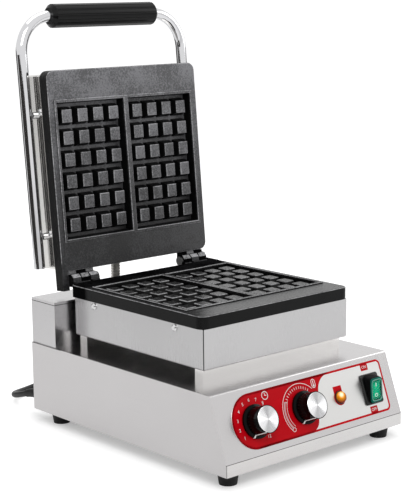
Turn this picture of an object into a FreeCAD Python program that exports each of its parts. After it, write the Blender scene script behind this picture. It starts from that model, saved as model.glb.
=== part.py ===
"""Two-waffle countertop waffle iron: sheet-metal base, two cast plates on a hinge, tube handle.

Millimetres, +Z up. The origin lies on the table under the middle of the machine's outline,
X runs to the right of someone who stands in front of the control panel, Y runs to the back.
The lid is built as it stands when closed and then swung open about the hinge.
"""
import FreeCAD, Part
import math
import os
import Sketcher

SIZES = {
    "origin_setback": 170.8,
    "sheet": 1.2,
    "fit_gap": 0.3,
    "seat_gap": 0.1,
    "running_gap": 0.06,
    "base_width": 250.0,
    "base_depth": 318.0,
    "base_height": 76.0,
    "lip_height": 12.6,
    "panel_setback": 24.0,
    "panel_fold": 2.0,
    "foot_height": 13.0,
    "foot_top_diameter": 22.0,
    "foot_bottom_diameter": 18.0,
    "foot_inset_side": 17.0,
    "foot_inset_front": 17.0,
    "foot_inset_rear": 28.0,
    "foot_bore_depth": 6.0,
    "foot_screw_diameter": 4.0,
    "foot_screw_head": 8.0,
    "screw_head_height": 2.4,
    "vent_length": 70.0,
    "vent_width": 4.0,
    "vent_pitch": 11.0,
    "neck_width": 194.0,
    "neck_height": 13.4,
    "neck_return": 12.0,
    "neck_flange": 9.0,
    "neck_inset_front": 7.0,
    "neck_inset_rear": 2.0,
    "plate_width": 208.0,
    "plate_length": 217.0,
    "plate_flange": 13.0,
    "plate_front": 57.2,
    "plate_corner": 9.0,
    "plate_edge_round": 1.5,
    "rim_height": 1.5,
    "rim_width": 3.0,
    "rim_edge": 0.7,
    "waffle_width": 194.0,
    "waffle_length": 154.0,
    "divider_width": 6.0,
    "cavity_depth": 12.0,
    "cavity_wall_draft": 1.5,
    "peg_width": 13.0,
    "peg_length": 14.0,
    "peg_height": 10.0,
    "peg_crown": 0.8,
    "peg_channel": 3.6,
    "peg_edge": 3.5,
    "boss_depth": 9.0,
    "hinge_offset": 9.6,
    "hinge_centre": 79.0,
    "lug_width": 10.2,
    "lug_gap": 1.6,
    "lug_radius": 6.8,
    "lug_front": 6.4,
    "lug_back": 7.0,
    "heel_start": 1.5,
    "ear_reach": 11.0,
    "pin_diameter": 8.0,
    "pin_head_diameter": 11.0,
    "pin_head_height": 2.5,
    "stop_gap": 0.2,
    "lid_open_angle": 95.0,
    "tray_width": 204.0,
    "tray_corner": 2.0,
    "housing_depth": 41.6,
    "housing_front_inset": 0.5,
    "housing_rear_inset": 6.0,
    "cover_depth": 34.0,
    "cover_front_inset": 3.4,
    "cover_rear_inset": 2.3,
    "tray_screw_diameter": 4.0,
    "tray_screw_head": 7.4,
    "tray_screw_length": 9.0,
    "tray_screw_drop": 5.0,
    "tray_screw_rear": 41.4,
    "tray_screw_pitch": 132.0,
    "heater_diameter": 8.0,
    "heater_spacing": 50.0,
    "heater_bend": 20.0,
    "heater_run": 150.0,
    "heater_tail": 26.0,
    "clamp_sheet": 2.0,
    "clamp_width": 178.0,
    "clamp_length": 120.0,
    "clamp_screw_diameter": 5.0,
    "clamp_screw_head": 9.0,
    "bulb_diameter": 6.0,
    "bulb_length": 70.0,
    "wool_width": 188.0,
    "wool_length": 192.0,
    "handle_tube_diameter": 12.4,
    "handle_tube_wall": 1.2,
    "handle_span": 224.0,
    "handle_bend": 40.0,
    "handle_reach": 285.5,
    "handle_start": 13.6,
    "handle_level": 32.0,
    "handle_screw_diameter": 4.0,
    "handle_screw_head": 7.0,
    "handle_screw_rear": 48.0,
    "handle_screw_pitch": 132.0,
    "spacer_diameter": 8.0,
    "grip_length": 146.0,
    "grip_diameter": 26.0,
    "grip_chamfer": 4.0,
    "grip_flute": 1.1,
    "grip_flute_count": 14.0,
    "rear_box_width": 247.0,
    "rear_box_depth": 42.6,
    "rear_box_height": 50.2,
    "cap_height": 3.0,
    "cable_way_width": 80.0,
    "cable_way_depth": 22.0,
    "conduit_x": -14.0,
    "conduit_behind_axis": 25.0,
    "conduit_diameter": 11.0,
    "conduit_bore": 8.0,
    "conduit_pitch": 3.0,
    "conduit_groove": 0.8,
    "conduit_nut_width": 17.0,
    "conduit_nut_height": 4.0,
    "overlay_left": 106.0,
    "overlay_right": 111.5,
    "overlay_bottom": 6.3,
    "overlay_top": 61.6,
    "overlay_sheet": 0.4,
    "overlay_corner": 6.0,
    "overlay_end_flat": 0.4,
    "control_level": 33.0,
    "timer_x": -77.0,
    "thermostat_x": -9.5,
    "bushing_diameter": 9.6,
    "bushing_height": 4.6,
    "bushing_nut_width": 14.0,
    "bushing_nut_height": 2.2,
    "shaft_diameter": 6.0,
    "shaft_depth": 12.0,
    "timer_width": 46.0,
    "timer_depth": 36.0,
    "thermostat_width": 40.0,
    "thermostat_depth": 30.0,
    "knob_lift": 1.0,
    "knob_skirt_diameter": 34.0,
    "knob_skirt_height": 2.2,
    "knob_diameter": 29.0,
    "knob_taper": 0.8,
    "knob_height": 18.6,
    "knob_recess_diameter": 22.0,
    "knob_recess_depth": 5.6,
    "knob_flute": 0.8,
    "knob_flute_count": 30.0,
    "knob_cap_diameter": 26.0,
    "knob_cap_height": 1.4,
    "lamp_x": 42.4,
    "lamp_lens_diameter": 12.0,
    "lamp_lens_height": 4.6,
    "lamp_stem_diameter": 9.6,
    "lamp_stem_length": 22.0,
    "lamp_collar_diameter": 13.6,
    "switch_x": 89.4,
    "switch_width": 25.4,
    "switch_height": 32.3,
    "switch_bezel": 2.6,
    "switch_body_width": 21.6,
    "switch_body_height": 27.8,
    "switch_body_depth": 22.0,
    "boot_width": 18.8,
    "boot_height": 30.4,
    "boot_face_width": 17.2,
    "boot_face_height": 25.0,
    "boot_reach": 9.2,
    "boot_wall": 0.8,
    "boot_corner": 1.6,
    "boot_edge": 0.6,
    "rocker_width": 14.2,
    "rocker_radius": 13.2,
    "rocker_gap": 0.5,
    "rocker_tilt": 16.0,
    "rocker_valley": 7.6,
    "rocker_brim": 8.2,
    "rocker_head": 5.2,
    "rocker_stem": 12.0,
    "rocker_depth": 3.0,
    "rocker_pivot_diameter": 3.0,
    "terminal_width": 52.0,
    "terminal_depth": 22.0,
    "terminal_height": 16.0,
    "gland_x": -113.0,
    "gland_level": 12.6,
    "gland_flange_diameter": 17.0,
    "gland_flange_height": 4.0,
    "gland_stem_diameter": 12.0,
    "gland_stem_length": 12.0,
    "gland_nut_width": 17.0,
    "gland_nut_height": 4.0,
    "relief_length": 26.0,
    "relief_start_diameter": 12.0,
    "relief_end_diameter": 8.8,
    "relief_droop": 18.0,
    "cord_diameter": 6.8,
    "coil_x": 20.0,
    "coil_y": 206.5,
    "coil_outer_radius": 48.5,
    "coil_pitch": 7.4,
    "tie_thickness": 1.0,
    "tie_width": 8.0,
    "plug_diameter": 37.0,
    "plug_length": 44.0,
    "plug_neck_diameter": 13.0,
    "plug_pin_diameter": 4.8,
    "plug_pin_length": 19.0,
    "plug_pin_spacing": 19.0,
}
PEG_COLUMNS = 4
PEG_ROWS = 6
VENT_COUNT = 7
SPIRAL_QUARTERS = 9
CLIMB_QUARTERS = 2


class Size:
    """A value together with the sheet formula that gives it."""

    def __init__(self, text, value):
        self.text = text
        self.value = value

    @staticmethod
    def of(other):
        return other if isinstance(other, Size) else Size(f"{float(other):.9g}", float(other))

    def __add__(self, other):
        other = Size.of(other)
        return Size(f"({self.text} + {other.text})", self.value + other.value)

    def __sub__(self, other):
        other = Size.of(other)
        return Size(f"({self.text} - {other.text})", self.value - other.value)

    def __mul__(self, other):
        other = Size.of(other)
        return Size(f"({self.text} * {other.text})", self.value * other.value)

    def __truediv__(self, other):
        other = Size.of(other)
        return Size(f"({self.text} / {other.text})", self.value / other.value)

    def __radd__(self, other):
        return Size.of(other) + self

    def __rsub__(self, other):
        return Size.of(other) - self

    def __rmul__(self, other):
        return Size.of(other) * self

    def __neg__(self):
        return Size(f"(-1 * {self.text})", -self.value)


def cosine(angle):
    return Size(f"cos({angle.text})", math.cos(math.radians(angle.value)))


def sine(angle):
    return Size(f"sin({angle.text})", math.sin(math.radians(angle.value)))


def arctangent(ratio):
    return Size(f"(atan({ratio.text}) / 1 deg)", math.degrees(math.atan(ratio.value)))


class Sizes:
    """The driving dimensions, each a Size that points at its cell in the sheet."""


doc = FreeCAD.newDocument("waffle_iron")
sheet_object = doc.addObject("Spreadsheet::Sheet", "sizes")
size = Sizes()
for row, (alias, number) in enumerate(SIZES.items(), 1):
    sheet_object.set(f"A{row}", alias)
    sheet_object.set(f"B{row}", str(number))
    sheet_object.setAlias(f"B{row}", alias)
    setattr(size, alias, Size(f"sizes.{alias}", number))
doc.recompute()

nodes = {}

# Places that several pieces share.
front_y = -size.origin_setback
rear_y = front_y + size.base_depth
base_bottom = size.foot_height
base_top = base_bottom + size.base_height
housing_bottom = base_top + size.neck_height
flange_drop = size.rim_height + size.plate_flange
mate_z = housing_bottom + size.housing_depth + flange_drop
plate_rear_y = front_y + size.plate_front + size.plate_length
hinge_y = plate_rear_y + size.hinge_offset
boss_drop = flange_drop + size.boss_depth
panel_angle = arctangent((size.base_height - size.lip_height) / size.panel_setback)


def bind(item, name, amount):
    """Sets a property to a number, or ties it to the sheet."""
    if isinstance(amount, Size):
        item.setExpression(name, amount.text)
    else:
        setattr(item, name, amount)


def place(item, base=(0, 0, 0), axis=(1, 0, 0), angle=0):
    """Gives a piece its place: a turn about an axis through its own origin, then a shift."""
    base = [Size.of(part).text for part in base]
    axis = [Size.of(part).text for part in axis]
    turn = f"rotation(vector({'; '.join(axis)}); {Size.of(angle).text})"
    item.setExpression("Placement", f"placement(vector({'; '.join(base)}); {turn})")


def on_panel(item, across=0, up=0):
    """Stands a piece on the control panel: local X across, local Y up the slope, local Z outwards."""
    y = front_y + cosine(panel_angle) * up
    z = base_bottom + size.lip_height + sine(panel_angle) * up
    place(item, (across, y, z), (1, 0, 0), panel_angle)


def on_lower(item):
    """Plate frame of the lower half: origin on the hinge axis, local Y negative to the front."""
    place(item, (0, hinge_y, mate_z))


def on_upper(item):
    """The lower half's frame turned over about Y and swung open about the hinge."""
    half = size.lid_open_angle / 2
    place(item, (0, hinge_y, mate_z), (0, cosine(half), -sine(half)), 180)


def on_lid(item, x=0, y=0, z=0):
    """The closed lid's frame swung open: origin on the hinge axis, local Z up when closed."""
    y, z = Size.of(y), Size.of(z)
    open_cos, open_sin = cosine(size.lid_open_angle), sine(size.lid_open_angle)
    base = (x, hinge_y + y * open_cos + z * open_sin, mate_z - y * open_sin + z * open_cos)
    place(item, base, (1, 0, 0), -size.lid_open_angle)


def node(label, item):
    """Files a finished piece under the name that its file takes."""
    item.Label = label
    nodes[label] = item
    return item


def new_body(name):
    return doc.addObject("PartDesign::Body", name)


def plane_of(body, role):
    return [part for part in body.Origin.OriginFeatures if part.Role == role][0]


def new_sketch(body, role, offset=0):
    """A sketch on one of the body's own planes, moved along the plane's normal."""
    sketch = body.newObject("Sketcher::SketchObject", body.Name + "_sketch")
    sketch.AttachmentSupport = [(plane_of(body, role), "")]
    sketch.MapMode = "FlatFace"
    sketch.setExpression("AttachmentOffset.Base.z", Size.of(offset).text)
    return sketch


def new_leaning_sketch(body, angle, reach):
    """A sketch square to a line that leans from the body's Z axis towards -Y, at a reach along that line."""
    sketch = new_sketch(body, "XY_Plane", reach * cosine(angle))
    sketch.AttachmentOffset.Rotation = FreeCAD.Rotation(FreeCAD.Vector(1, 0, 0), angle.value)
    sketch.setExpression("AttachmentOffset.Base.y", (-reach * sine(angle)).text)
    sketch.setExpression("AttachmentOffset.Rotation.Angle", angle.text)
    return sketch


def pin_point(sketch, item, point, spot):
    """Ties one point of a sketch's line, arc or circle to the sketch's origin."""
    for kind, amount in zip(("DistanceX", "DistanceY"), spot):
        amount = Size.of(amount)
        index = sketch.addConstraint(Sketcher.Constraint(kind, -1, 1, item, point, amount.value))
        sketch.setExpression(f"Constraints[{index}]", amount.text)


def vector(spot):
    return FreeCAD.Vector(*[Size.of(part).value for part in spot], 0)


def draw_outline(sketch, corners):
    """A closed outline of straight lines through the corners."""
    first = sketch.GeometryCount
    count = len(corners)
    for index, corner in enumerate(corners):
        line = Part.LineSegment(vector(corner), vector(corners[(index + 1) % count]))
        sketch.addGeometry(line)
    for index, corner in enumerate(corners):
        follower = first + (index + 1) % count
        sketch.addConstraint(Sketcher.Constraint("Coincident", first + index, 2, follower, 1))
        pin_point(sketch, first + index, 1, corner)


def draw_box(sketch, low, high):
    """A rectangle between two opposite corners."""
    draw_outline(sketch, [low, (high[0], low[1]), high, (low[0], high[1])])


def draw_cut_box(sketch, wide, tall, cut):
    """A rectangle about the origin, given by its half sizes, with its corners cut off."""
    draw_outline(sketch, [
        (-wide + cut, -tall), (wide - cut, -tall), (wide, -tall + cut), (wide, tall - cut),
        (wide - cut, tall), (-wide + cut, tall), (-wide, tall - cut), (-wide, -tall + cut),
    ])


def draw_circle(sketch, centre, diameter):
    diameter = Size.of(diameter)
    circle = Part.Circle(vector(centre), FreeCAD.Vector(0, 0, 1), diameter.value / 2)
    item = sketch.addGeometry(circle)
    index = sketch.addConstraint(Sketcher.Constraint("Diameter", item, diameter.value))
    sketch.setExpression(f"Constraints[{index}]", diameter.text)
    pin_point(sketch, item, 3, centre)


def draw_path(sketch, corners, bend):
    """An open path of straight runs along X and Y, with a round bend at each inner corner."""

    def heading(start, end):
        step = vector(end) - vector(start)
        step.normalize()
        return round(step.x), round(step.y)

    def shifted(spot, way, amount):
        return tuple(part if turn == 0 else part + turn * amount for part, turn in zip(spot, way))

    runs = []
    start = corners[0]
    for index in range(1, len(corners) - 1):
        way_in = heading(corners[index - 1], corners[index])
        way_out = heading(corners[index], corners[index + 1])
        before = shifted(corners[index], way_in, -1 * bend)
        after = shifted(corners[index], way_out, bend)
        runs.append((start, before, shifted(before, way_out, bend), way_in, way_out))
        start = after
    lines = []
    for begin, end, _, _, _ in runs:
        lines.append(sketch.addGeometry(Part.LineSegment(vector(begin), vector(end))))
        pin_point(sketch, lines[-1], 1, begin)
        pin_point(sketch, lines[-1], 2, end)
    lines.append(sketch.addGeometry(Part.LineSegment(vector(start), vector(corners[-1]))))
    pin_point(sketch, lines[-1], 1, start)
    pin_point(sketch, lines[-1], 2, corners[-1])
    for index, (_, _, centre, way_in, way_out) in enumerate(runs):
        left_turn = way_in[0] * way_out[1] - way_in[1] * way_out[0] > 0
        side = -1 if left_turn else 1
        enter = math.atan2(-side * way_in[0], side * way_in[1])
        leave = math.atan2(-side * way_out[0], side * way_out[1])
        enter, leave = enter + math.pi, leave + math.pi
        first, last = (enter, leave) if left_turn else (leave, enter)
        if last < first:
            last += 2 * math.pi
        circle = Part.Circle(vector(centre), FreeCAD.Vector(0, 0, 1), Size.of(bend).value)
        arc = sketch.addGeometry(Part.ArcOfCircle(circle, first, last))
        begin, finish = (1, 2) if left_turn else (2, 1)
        sketch.addConstraint(Sketcher.Constraint("Tangent", lines[index], 2, arc, begin))
        sketch.addConstraint(Sketcher.Constraint("Coincident", arc, finish, lines[index + 1], 1))


def add_pad(body, sketch, length, middle=False, back=False):
    pad = body.newObject("PartDesign::Pad", body.Name + "_pad")
    pad.Profile = sketch
    bind(pad, "Length", Size.of(length))
    pad.Midplane = middle
    pad.Reversed = back
    doc.recompute()
    return pad


def add_pocket(body, sketch, length, middle=False, back=False):
    """Cuts along the sketch's normal reversed, or with it, and stops if nothing comes away."""
    before = body.Shape.Volume
    pocket = body.newObject("PartDesign::Pocket", body.Name + "_pocket")
    pocket.Profile = sketch
    bind(pocket, "Length", Size.of(length))
    pocket.Midplane = middle
    pocket.Reversed = back
    doc.recompute()
    if body.Shape.Volume > before - 1e-6:
        raise RuntimeError(f"{pocket.Name} cuts nothing")
    return pocket


def add_revolution(body, corners):
    """A round piece: an outline of radius and height turned about the body's own Z axis."""
    sketch = new_sketch(body, "XZ_Plane")
    draw_outline(sketch, corners)
    turned = body.newObject("PartDesign::Revolution", body.Name + "_turned")
    turned.Profile = sketch
    turned.ReferenceAxis = (sketch, ["V_Axis"])
    turned.Angle = 360
    doc.recompute()
    return turned


def add_loft(body, low, *above, cut=False):
    kind = "PartDesign::SubtractiveLoft" if cut else "PartDesign::AdditiveLoft"
    loft = body.newObject(kind, body.Name + "_loft")
    loft.Profile = low
    loft.Sections = list(above)
    loft.Ruled = True
    doc.recompute()
    return loft


def add_ring(body, feature, axis_role, count):
    """Repeats a feature evenly round one of the body's own axes."""
    ring = body.newObject("PartDesign::PolarPattern", body.Name + "_ring")
    ring.Originals = [feature]
    ring.Axis = (plane_of(body, axis_role), [""])
    ring.Angle = 360
    bind(ring, "Occurrences", count)
    body.Tip = ring
    doc.recompute()
    return ring


def edges_where(shape, test):
    return [f"Edge{index}" for index, edge in enumerate(shape.Edges, 1) if test(edge)]


def faces_where(shape, test):
    return [f"Face{index}" for index, face in enumerate(shape.Faces, 1) if test(face)]


def runs_along(edge, axis):
    if not isinstance(edge.Curve, Part.Line):
        return False
    return abs(abs(edge.Curve.Direction.dot(axis)) - 1) < 1e-6


def faces_to(face, way):
    if not isinstance(face.Surface, Part.Plane):
        return False
    return face.normalAt(0, 0).dot(way) > 1 - 1e-6


def add_fillet(body, test, radius):
    base = body.Tip
    fillet = body.newObject("PartDesign::Fillet", body.Name + "_fillet")
    fillet.Base = (base, edges_where(base.Shape, test))
    bind(fillet, "Radius", Size.of(radius))
    doc.recompute()
    return fillet


def add_chamfer(body, test, amount):
    base = body.Tip
    chamfer = body.newObject("PartDesign::Chamfer", body.Name + "_chamfer")
    chamfer.Base = (base, edges_where(base.Shape, test))
    bind(chamfer, "Size", Size.of(amount))
    doc.recompute()
    return chamfer


def add_shell(body, open_way, wall=size.sheet):
    """Hollows a body to the wall's thickness, open on the side that faces open_way."""
    base = body.Tip
    shell = body.newObject("PartDesign::Thickness", body.Name + "_shell")
    shell.Base = (base, faces_where(base.Shape, lambda face: faces_to(face, open_way)))
    bind(shell, "Value", wall)
    shell.Reversed = True
    shell.Join = 1
    doc.recompute()
    return shell


X_AXIS = FreeCAD.Vector(1, 0, 0)
Y_AXIS = FreeCAD.Vector(0, 1, 0)
Z_AXIS = FreeCAD.Vector(0, 0, 1)


def box_tool(name, low, high):
    """A plain block between two opposite corners, for cutting."""
    block = doc.addObject("Part::Box", name)
    for side, low_part, high_part in zip(("Length", "Width", "Height"), low, high):
        bind(block, side, Size.of(high_part) - Size.of(low_part))
    place(block, low)
    return block


def rod_tool(name, start, length, diameter, axis, angle):
    """A plain rod for cutting, turned from Z by angle about axis."""
    rod = doc.addObject("Part::Cylinder", name)
    bind(rod, "Radius", Size.of(diameter) / 2)
    bind(rod, "Height", Size.of(length))
    place(rod, start, axis, angle)
    return rod


def cut_with(name, base, tools):
    """The base with every tool taken away, which has to come out smaller."""
    doc.recompute()
    joined = doc.addObject("Part::MultiFuse", name + "_tools")
    joined.Shapes = tools
    cut = doc.addObject("Part::Cut", name)
    cut.Base = base
    cut.Tool = joined if len(tools) > 1 else tools[0]
    doc.recompute()
    if len(tools) == 1:
        doc.removeObject(joined.Name)
    if cut.Shape.Volume > base.Shape.Volume - 1e-6:
        raise RuntimeError(f"{name} cuts nothing")
    return cut


def group_of(name, items):
    """Like pieces filed together as separate solids."""
    group = doc.addObject("Part::Compound", name)
    group.Links = items
    doc.recompute()
    return node(name, group)


def screw(name, diameter, length, head):
    """A domed-head screw: head above local Z zero, shank below."""
    body = new_body(name)
    shank = diameter / 2
    rim = head / 2
    top = size.screw_head_height
    add_revolution(body, [
        (0, -length), (shank, -length), (shank, 0), (rim, 0),
        (rim, top * 0.45), (rim * 0.55, top), (0, top),
    ])
    return body


def hexagon(width):
    """The six corners of a hexagon, width across its flats."""
    reach = width / 2 * (2 / math.sqrt(3))
    turns = [math.radians(60 * index) for index in range(6)]
    return [(reach * math.cos(turn), reach * math.sin(turn)) for turn in turns]


def hex_nut(name, width, height, bore):
    body = new_body(name)
    sketch = new_sketch(body, "XY_Plane")
    draw_outline(sketch, hexagon(width))
    draw_circle(sketch, (0, 0), bore)
    add_pad(body, sketch, height)
    return body


# Base: a folded shell with a sloped control panel, closed below by a pan with a front lip.
def build_base_shell():
    body = new_body("base_shell_body")
    sketch = new_sketch(body, "YZ_Plane")
    draw_outline(sketch, [
        (front_y, base_bottom),
        (rear_y, base_bottom),
        (rear_y, base_top),
        (front_y + size.panel_setback, base_top),
        (front_y, base_bottom + size.lip_height),
    ])
    add_pad(body, sketch, size.base_width, middle=True)
    fold_y = (front_y + size.panel_setback).value
    top_z = base_top.value
    add_fillet(
        body,
        lambda edge: runs_along(edge, X_AXIS)
        and abs(edge.BoundBox.YMin - fold_y) < 1e-4
        and abs(edge.BoundBox.ZMin - top_z) < 1e-4,
        size.panel_fold,
    )
    add_shell(body, -Z_AXIS)
    spare = size.sheet
    half = size.base_width / 2
    lip_notch = box_tool(
        "lip_notch",
        (-half - spare, front_y - spare, base_bottom - spare),
        (half + spare, front_y + size.sheet, base_bottom + size.lip_height),
    )
    way_half = size.cable_way_width / 2
    way_middle = rear_y - size.rear_box_depth / 2
    cable_way = box_tool(
        "cable_way",
        (-way_half, way_middle - size.cable_way_depth / 2, base_top - size.sheet - spare),
        (way_half, way_middle + size.cable_way_depth / 2, base_top + spare),
    )
    gland_hole = rod_tool(
        "gland_hole",
        (size.gland_x, rear_y + spare, base_bottom + size.gland_level),
        size.sheet * 3, size.gland_stem_diameter + 2 * size.fit_gap, (1, 0, 0), 90,
    )
    tools = [lip_notch, cable_way, gland_hole]
    for name, across in (("timer_hole", size.timer_x), ("thermostat_hole", size.thermostat_x)):
        tools.append(panel_hole(name, across, size.bushing_diameter + 2 * size.fit_gap))
    tools.append(panel_hole("lamp_hole", size.lamp_x, size.lamp_stem_diameter + 2 * size.fit_gap))
    slot = doc.addObject("Part::Box", "switch_slot")
    bind(slot, "Length", size.switch_body_width + 2 * size.fit_gap)
    bind(slot, "Width", size.switch_body_height + 2 * size.fit_gap)
    bind(slot, "Height", size.sheet * 4)
    corner = size.switch_body_height / 2 + size.fit_gap
    centre_on_panel(
        slot,
        size.switch_x - size.switch_body_width / 2 - size.fit_gap,
        size.control_level - corner,
        -2 * size.sheet,
    )
    tools.append(slot)
    node("base_shell", cut_with("base_shell", body, tools))


def centre_on_panel(item, across, up, out):
    """Stands a tool on the panel with its own origin out from the panel's face."""
    y = front_y + cosine(panel_angle) * up - sine(panel_angle) * out
    z = base_bottom + size.lip_height + sine(panel_angle) * up + cosine(panel_angle) * out
    place(item, (across, y, z), (1, 0, 0), panel_angle)


def panel_hole(name, across, diameter):
    rod = doc.addObject("Part::Cylinder", name)
    bind(rod, "Radius", diameter / 2)
    bind(rod, "Height", size.sheet * 4)
    centre_on_panel(rod, across, size.control_level, -2 * size.sheet)
    return rod


def foot_spots():
    x = size.base_width / 2 - size.foot_inset_side
    front = front_y + size.foot_inset_front
    rear = rear_y - size.foot_inset_rear
    return {
        "front_left": (-x, front), "front_right": (x, front),
        "rear_left": (-x, rear), "rear_right": (x, rear),
    }


def build_base_pan():
    body = new_body("base_pan")
    floor_half = size.base_width / 2 - size.sheet - size.fit_gap
    floor_rear = rear_y - size.sheet - size.fit_gap
    floor = new_sketch(body, "XY_Plane", base_bottom)
    draw_box(floor, (-floor_half, front_y), (floor_half, floor_rear))
    for spot in foot_spots().values():
        draw_circle(floor, spot, size.foot_screw_diameter + 2 * size.seat_gap)
    add_pad(body, floor, size.sheet)
    lip = new_sketch(body, "XY_Plane", base_bottom)
    half = size.base_width / 2
    draw_box(lip, (-half, front_y), (half, front_y + size.sheet - size.seat_gap))
    add_pad(body, lip, size.lip_height - size.fit_gap)
    vent = new_sketch(body, "XY_Plane", base_bottom)
    vent_x = -size.vent_length / 2
    vent_y = size.vent_pitch * (-VENT_COUNT / 2)
    draw_box(vent, (vent_x, vent_y), (-vent_x, vent_y + size.vent_width))
    pocket = add_pocket(body, vent, size.sheet * 4, middle=True)
    row = body.newObject("PartDesign::LinearPattern", "vent_row")
    row.Originals = [pocket]
    row.Direction = (plane_of(body, "Y_Axis"), [""])
    bind(row, "Length", size.vent_pitch * (VENT_COUNT - 1))
    row.Occurrences = VENT_COUNT
    body.Tip = row
    doc.recompute()
    node("base_pan", body)


def build_feet():
    screws = []
    bore = size.foot_screw_diameter / 2 + size.seat_gap
    counterbore = size.foot_screw_head / 2 + size.fit_gap
    for name, (x, y) in foot_spots().items():
        foot = new_body("foot_" + name)
        add_revolution(foot, [
            (counterbore, 0), (size.foot_bottom_diameter / 2, 0),
            (size.foot_top_diameter / 2, size.foot_height), (bore, size.foot_height),
            (bore, size.foot_bore_depth), (counterbore, size.foot_bore_depth),
        ])
        place(foot, (x, y, 0))
        node("foot_" + name, foot)
        length = size.foot_height - size.foot_bore_depth + 4 * size.sheet
        bolt = screw("foot_screw_" + name, size.foot_screw_diameter, length, size.foot_screw_head)
        place(bolt, (x, y, size.foot_bore_depth), (1, 0, 0), 180)
        screws.append(bolt)
    group_of("foot_screws", screws)


def build_neck():
    """Two channels that carry the lower plate's housing clear of the base."""
    housing_front = front_y + size.plate_front + size.housing_front_inset
    housing_rear = plate_rear_y - size.housing_rear_inset
    ends = (
        ("neck_front", housing_front + size.neck_inset_front, 1),
        ("neck_rear", housing_rear - size.neck_inset_rear, -1),
    )
    half = size.neck_width / 2
    inner = half - size.sheet
    for name, y, way in ends:
        body = new_body(name)
        wall = new_sketch(body, "XY_Plane", base_top)
        back = y + way * size.sheet
        tip = y + way * size.neck_return
        draw_outline(wall, [
            (-half, y), (half, y), (half, tip), (inner, tip),
            (inner, back), (-inner, back), (-inner, tip), (-half, tip),
        ])
        add_pad(body, wall, size.neck_height)
        for level in (base_top, housing_bottom - size.sheet):
            flange = new_sketch(body, "XY_Plane", level)
            draw_box(flange, (-inner, back), (inner, back + way * size.neck_flange))
            add_pad(body, flange, size.sheet)
        node(name, body)


# Cast plates: the same casting twice, with peg grids, rims and interleaved hinge lugs.
def lug_corners():
    """Side view of a hinge lug, front face flat, top ready for rounding, heel behind as the lid's stop."""
    front = -size.lug_front
    root = -size.hinge_offset - size.plate_edge_round
    lean = size.lid_open_angle - 90
    reach = size.hinge_offset - size.stop_gap
    heel_tops = [(reach - sine(lean) * y) / cosine(lean) for y in (size.heel_start, size.lug_back)]
    return [
        (root, -flange_drop + size.plate_edge_round),
        (-size.lug_radius * 0.6, -size.lug_radius * 1.3),
        (size.lug_back - 2, -size.lug_radius),
        (size.lug_back, -size.lug_radius + 3),
        (size.lug_back, heel_tops[1]),
        (size.heel_start, heel_tops[0]),
        (size.heel_start, size.lug_radius),
        (-size.lug_radius * 0.45, size.lug_radius),
        (front, size.lug_radius * 0.45),
        (front, -size.rim_height),
        (root, -size.rim_height - size.plate_edge_round),
    ]


def add_lug(body, x):
    sketch = new_sketch(body, "YZ_Plane", x)
    draw_outline(sketch, lug_corners())
    add_pad(body, sketch, size.lug_width, middle=True)


def build_plate(label, stand):
    body = new_body(label)
    half = size.plate_width / 2
    rear = -size.hinge_offset
    front = rear - size.plate_length
    middle = rear - size.plate_length / 2
    slab = new_sketch(body, "XY_Plane", -flange_drop)
    draw_box(slab, (-half, front), (half, rear))
    add_pad(body, slab, size.plate_flange)
    add_fillet(body, lambda edge: runs_along(edge, Z_AXIS), size.plate_corner)
    border = (-size.rim_height).value
    add_fillet(body, lambda edge: abs(edge.BoundBox.ZMin - border) < 1e-4, size.plate_edge_round)
    inset = size.sheet + size.fit_gap
    boss = new_sketch(body, "XY_Plane", -boss_drop)
    boss_half = size.tray_width / 2 - inset
    boss_front = front + size.cover_front_inset + inset
    boss_rear = rear - size.housing_rear_inset - inset
    draw_box(boss, (-boss_half, boss_front), (boss_half, boss_rear))
    add_pad(body, boss, size.boss_depth)
    rim = new_sketch(body, "XY_Plane", -flange_drop)
    rim_half = size.waffle_width / 2
    rim_low = middle - size.waffle_length / 2
    rim_high = middle + size.waffle_length / 2
    draw_box(rim, (-rim_half, rim_low), (rim_half, rim_high))
    add_pad(body, rim, flange_drop - size.seat_gap)
    for side in (-1, 1):
        cut_cavity(body, side, rim_half, rim_low, rim_high)
    rim_top = (-size.seat_gap).value
    add_chamfer(body, lambda edge: abs(edge.BoundBox.ZMin - rim_top) < 1e-4, size.rim_edge)
    spacing = size.lug_width + size.lug_gap
    for x in (-size.hinge_centre, size.hinge_centre - spacing, size.hinge_centre + spacing):
        add_lug(body, x)
    ear = new_sketch(body, "XY_Plane", -flange_drop)
    ear_inner = size.hinge_centre + spacing + size.lug_width / 2
    draw_box(ear, (ear_inner, rear - size.plate_corner), (half, size.ear_reach))
    add_pad(body, ear, size.plate_flange)
    bore = new_sketch(body, "YZ_Plane")
    draw_circle(bore, (0, 0), size.pin_diameter + 2 * size.running_gap)
    add_pocket(body, bore, 2 * ear_inner, middle=True)
    screw_bore = new_sketch(body, "YZ_Plane", -half)
    for y in tray_screw_rows():
        spot = (y, -flange_drop - size.tray_screw_drop)
        draw_circle(screw_bore, spot, size.tray_screw_diameter + 2 * size.seat_gap)
    depth = (size.plate_width - size.tray_width) / 2 + size.tray_screw_length + size.fit_gap
    left_bores = add_pocket(body, screw_bore, depth, back=True)
    mirror = body.newObject("PartDesign::Mirrored", label + "_mirror")
    mirror.Originals = [left_bores]
    mirror.MirrorPlane = (plane_of(body, "YZ_Plane"), [""])
    body.Tip = mirror
    doc.recompute()
    stand(body)
    node(label, body)


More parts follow.
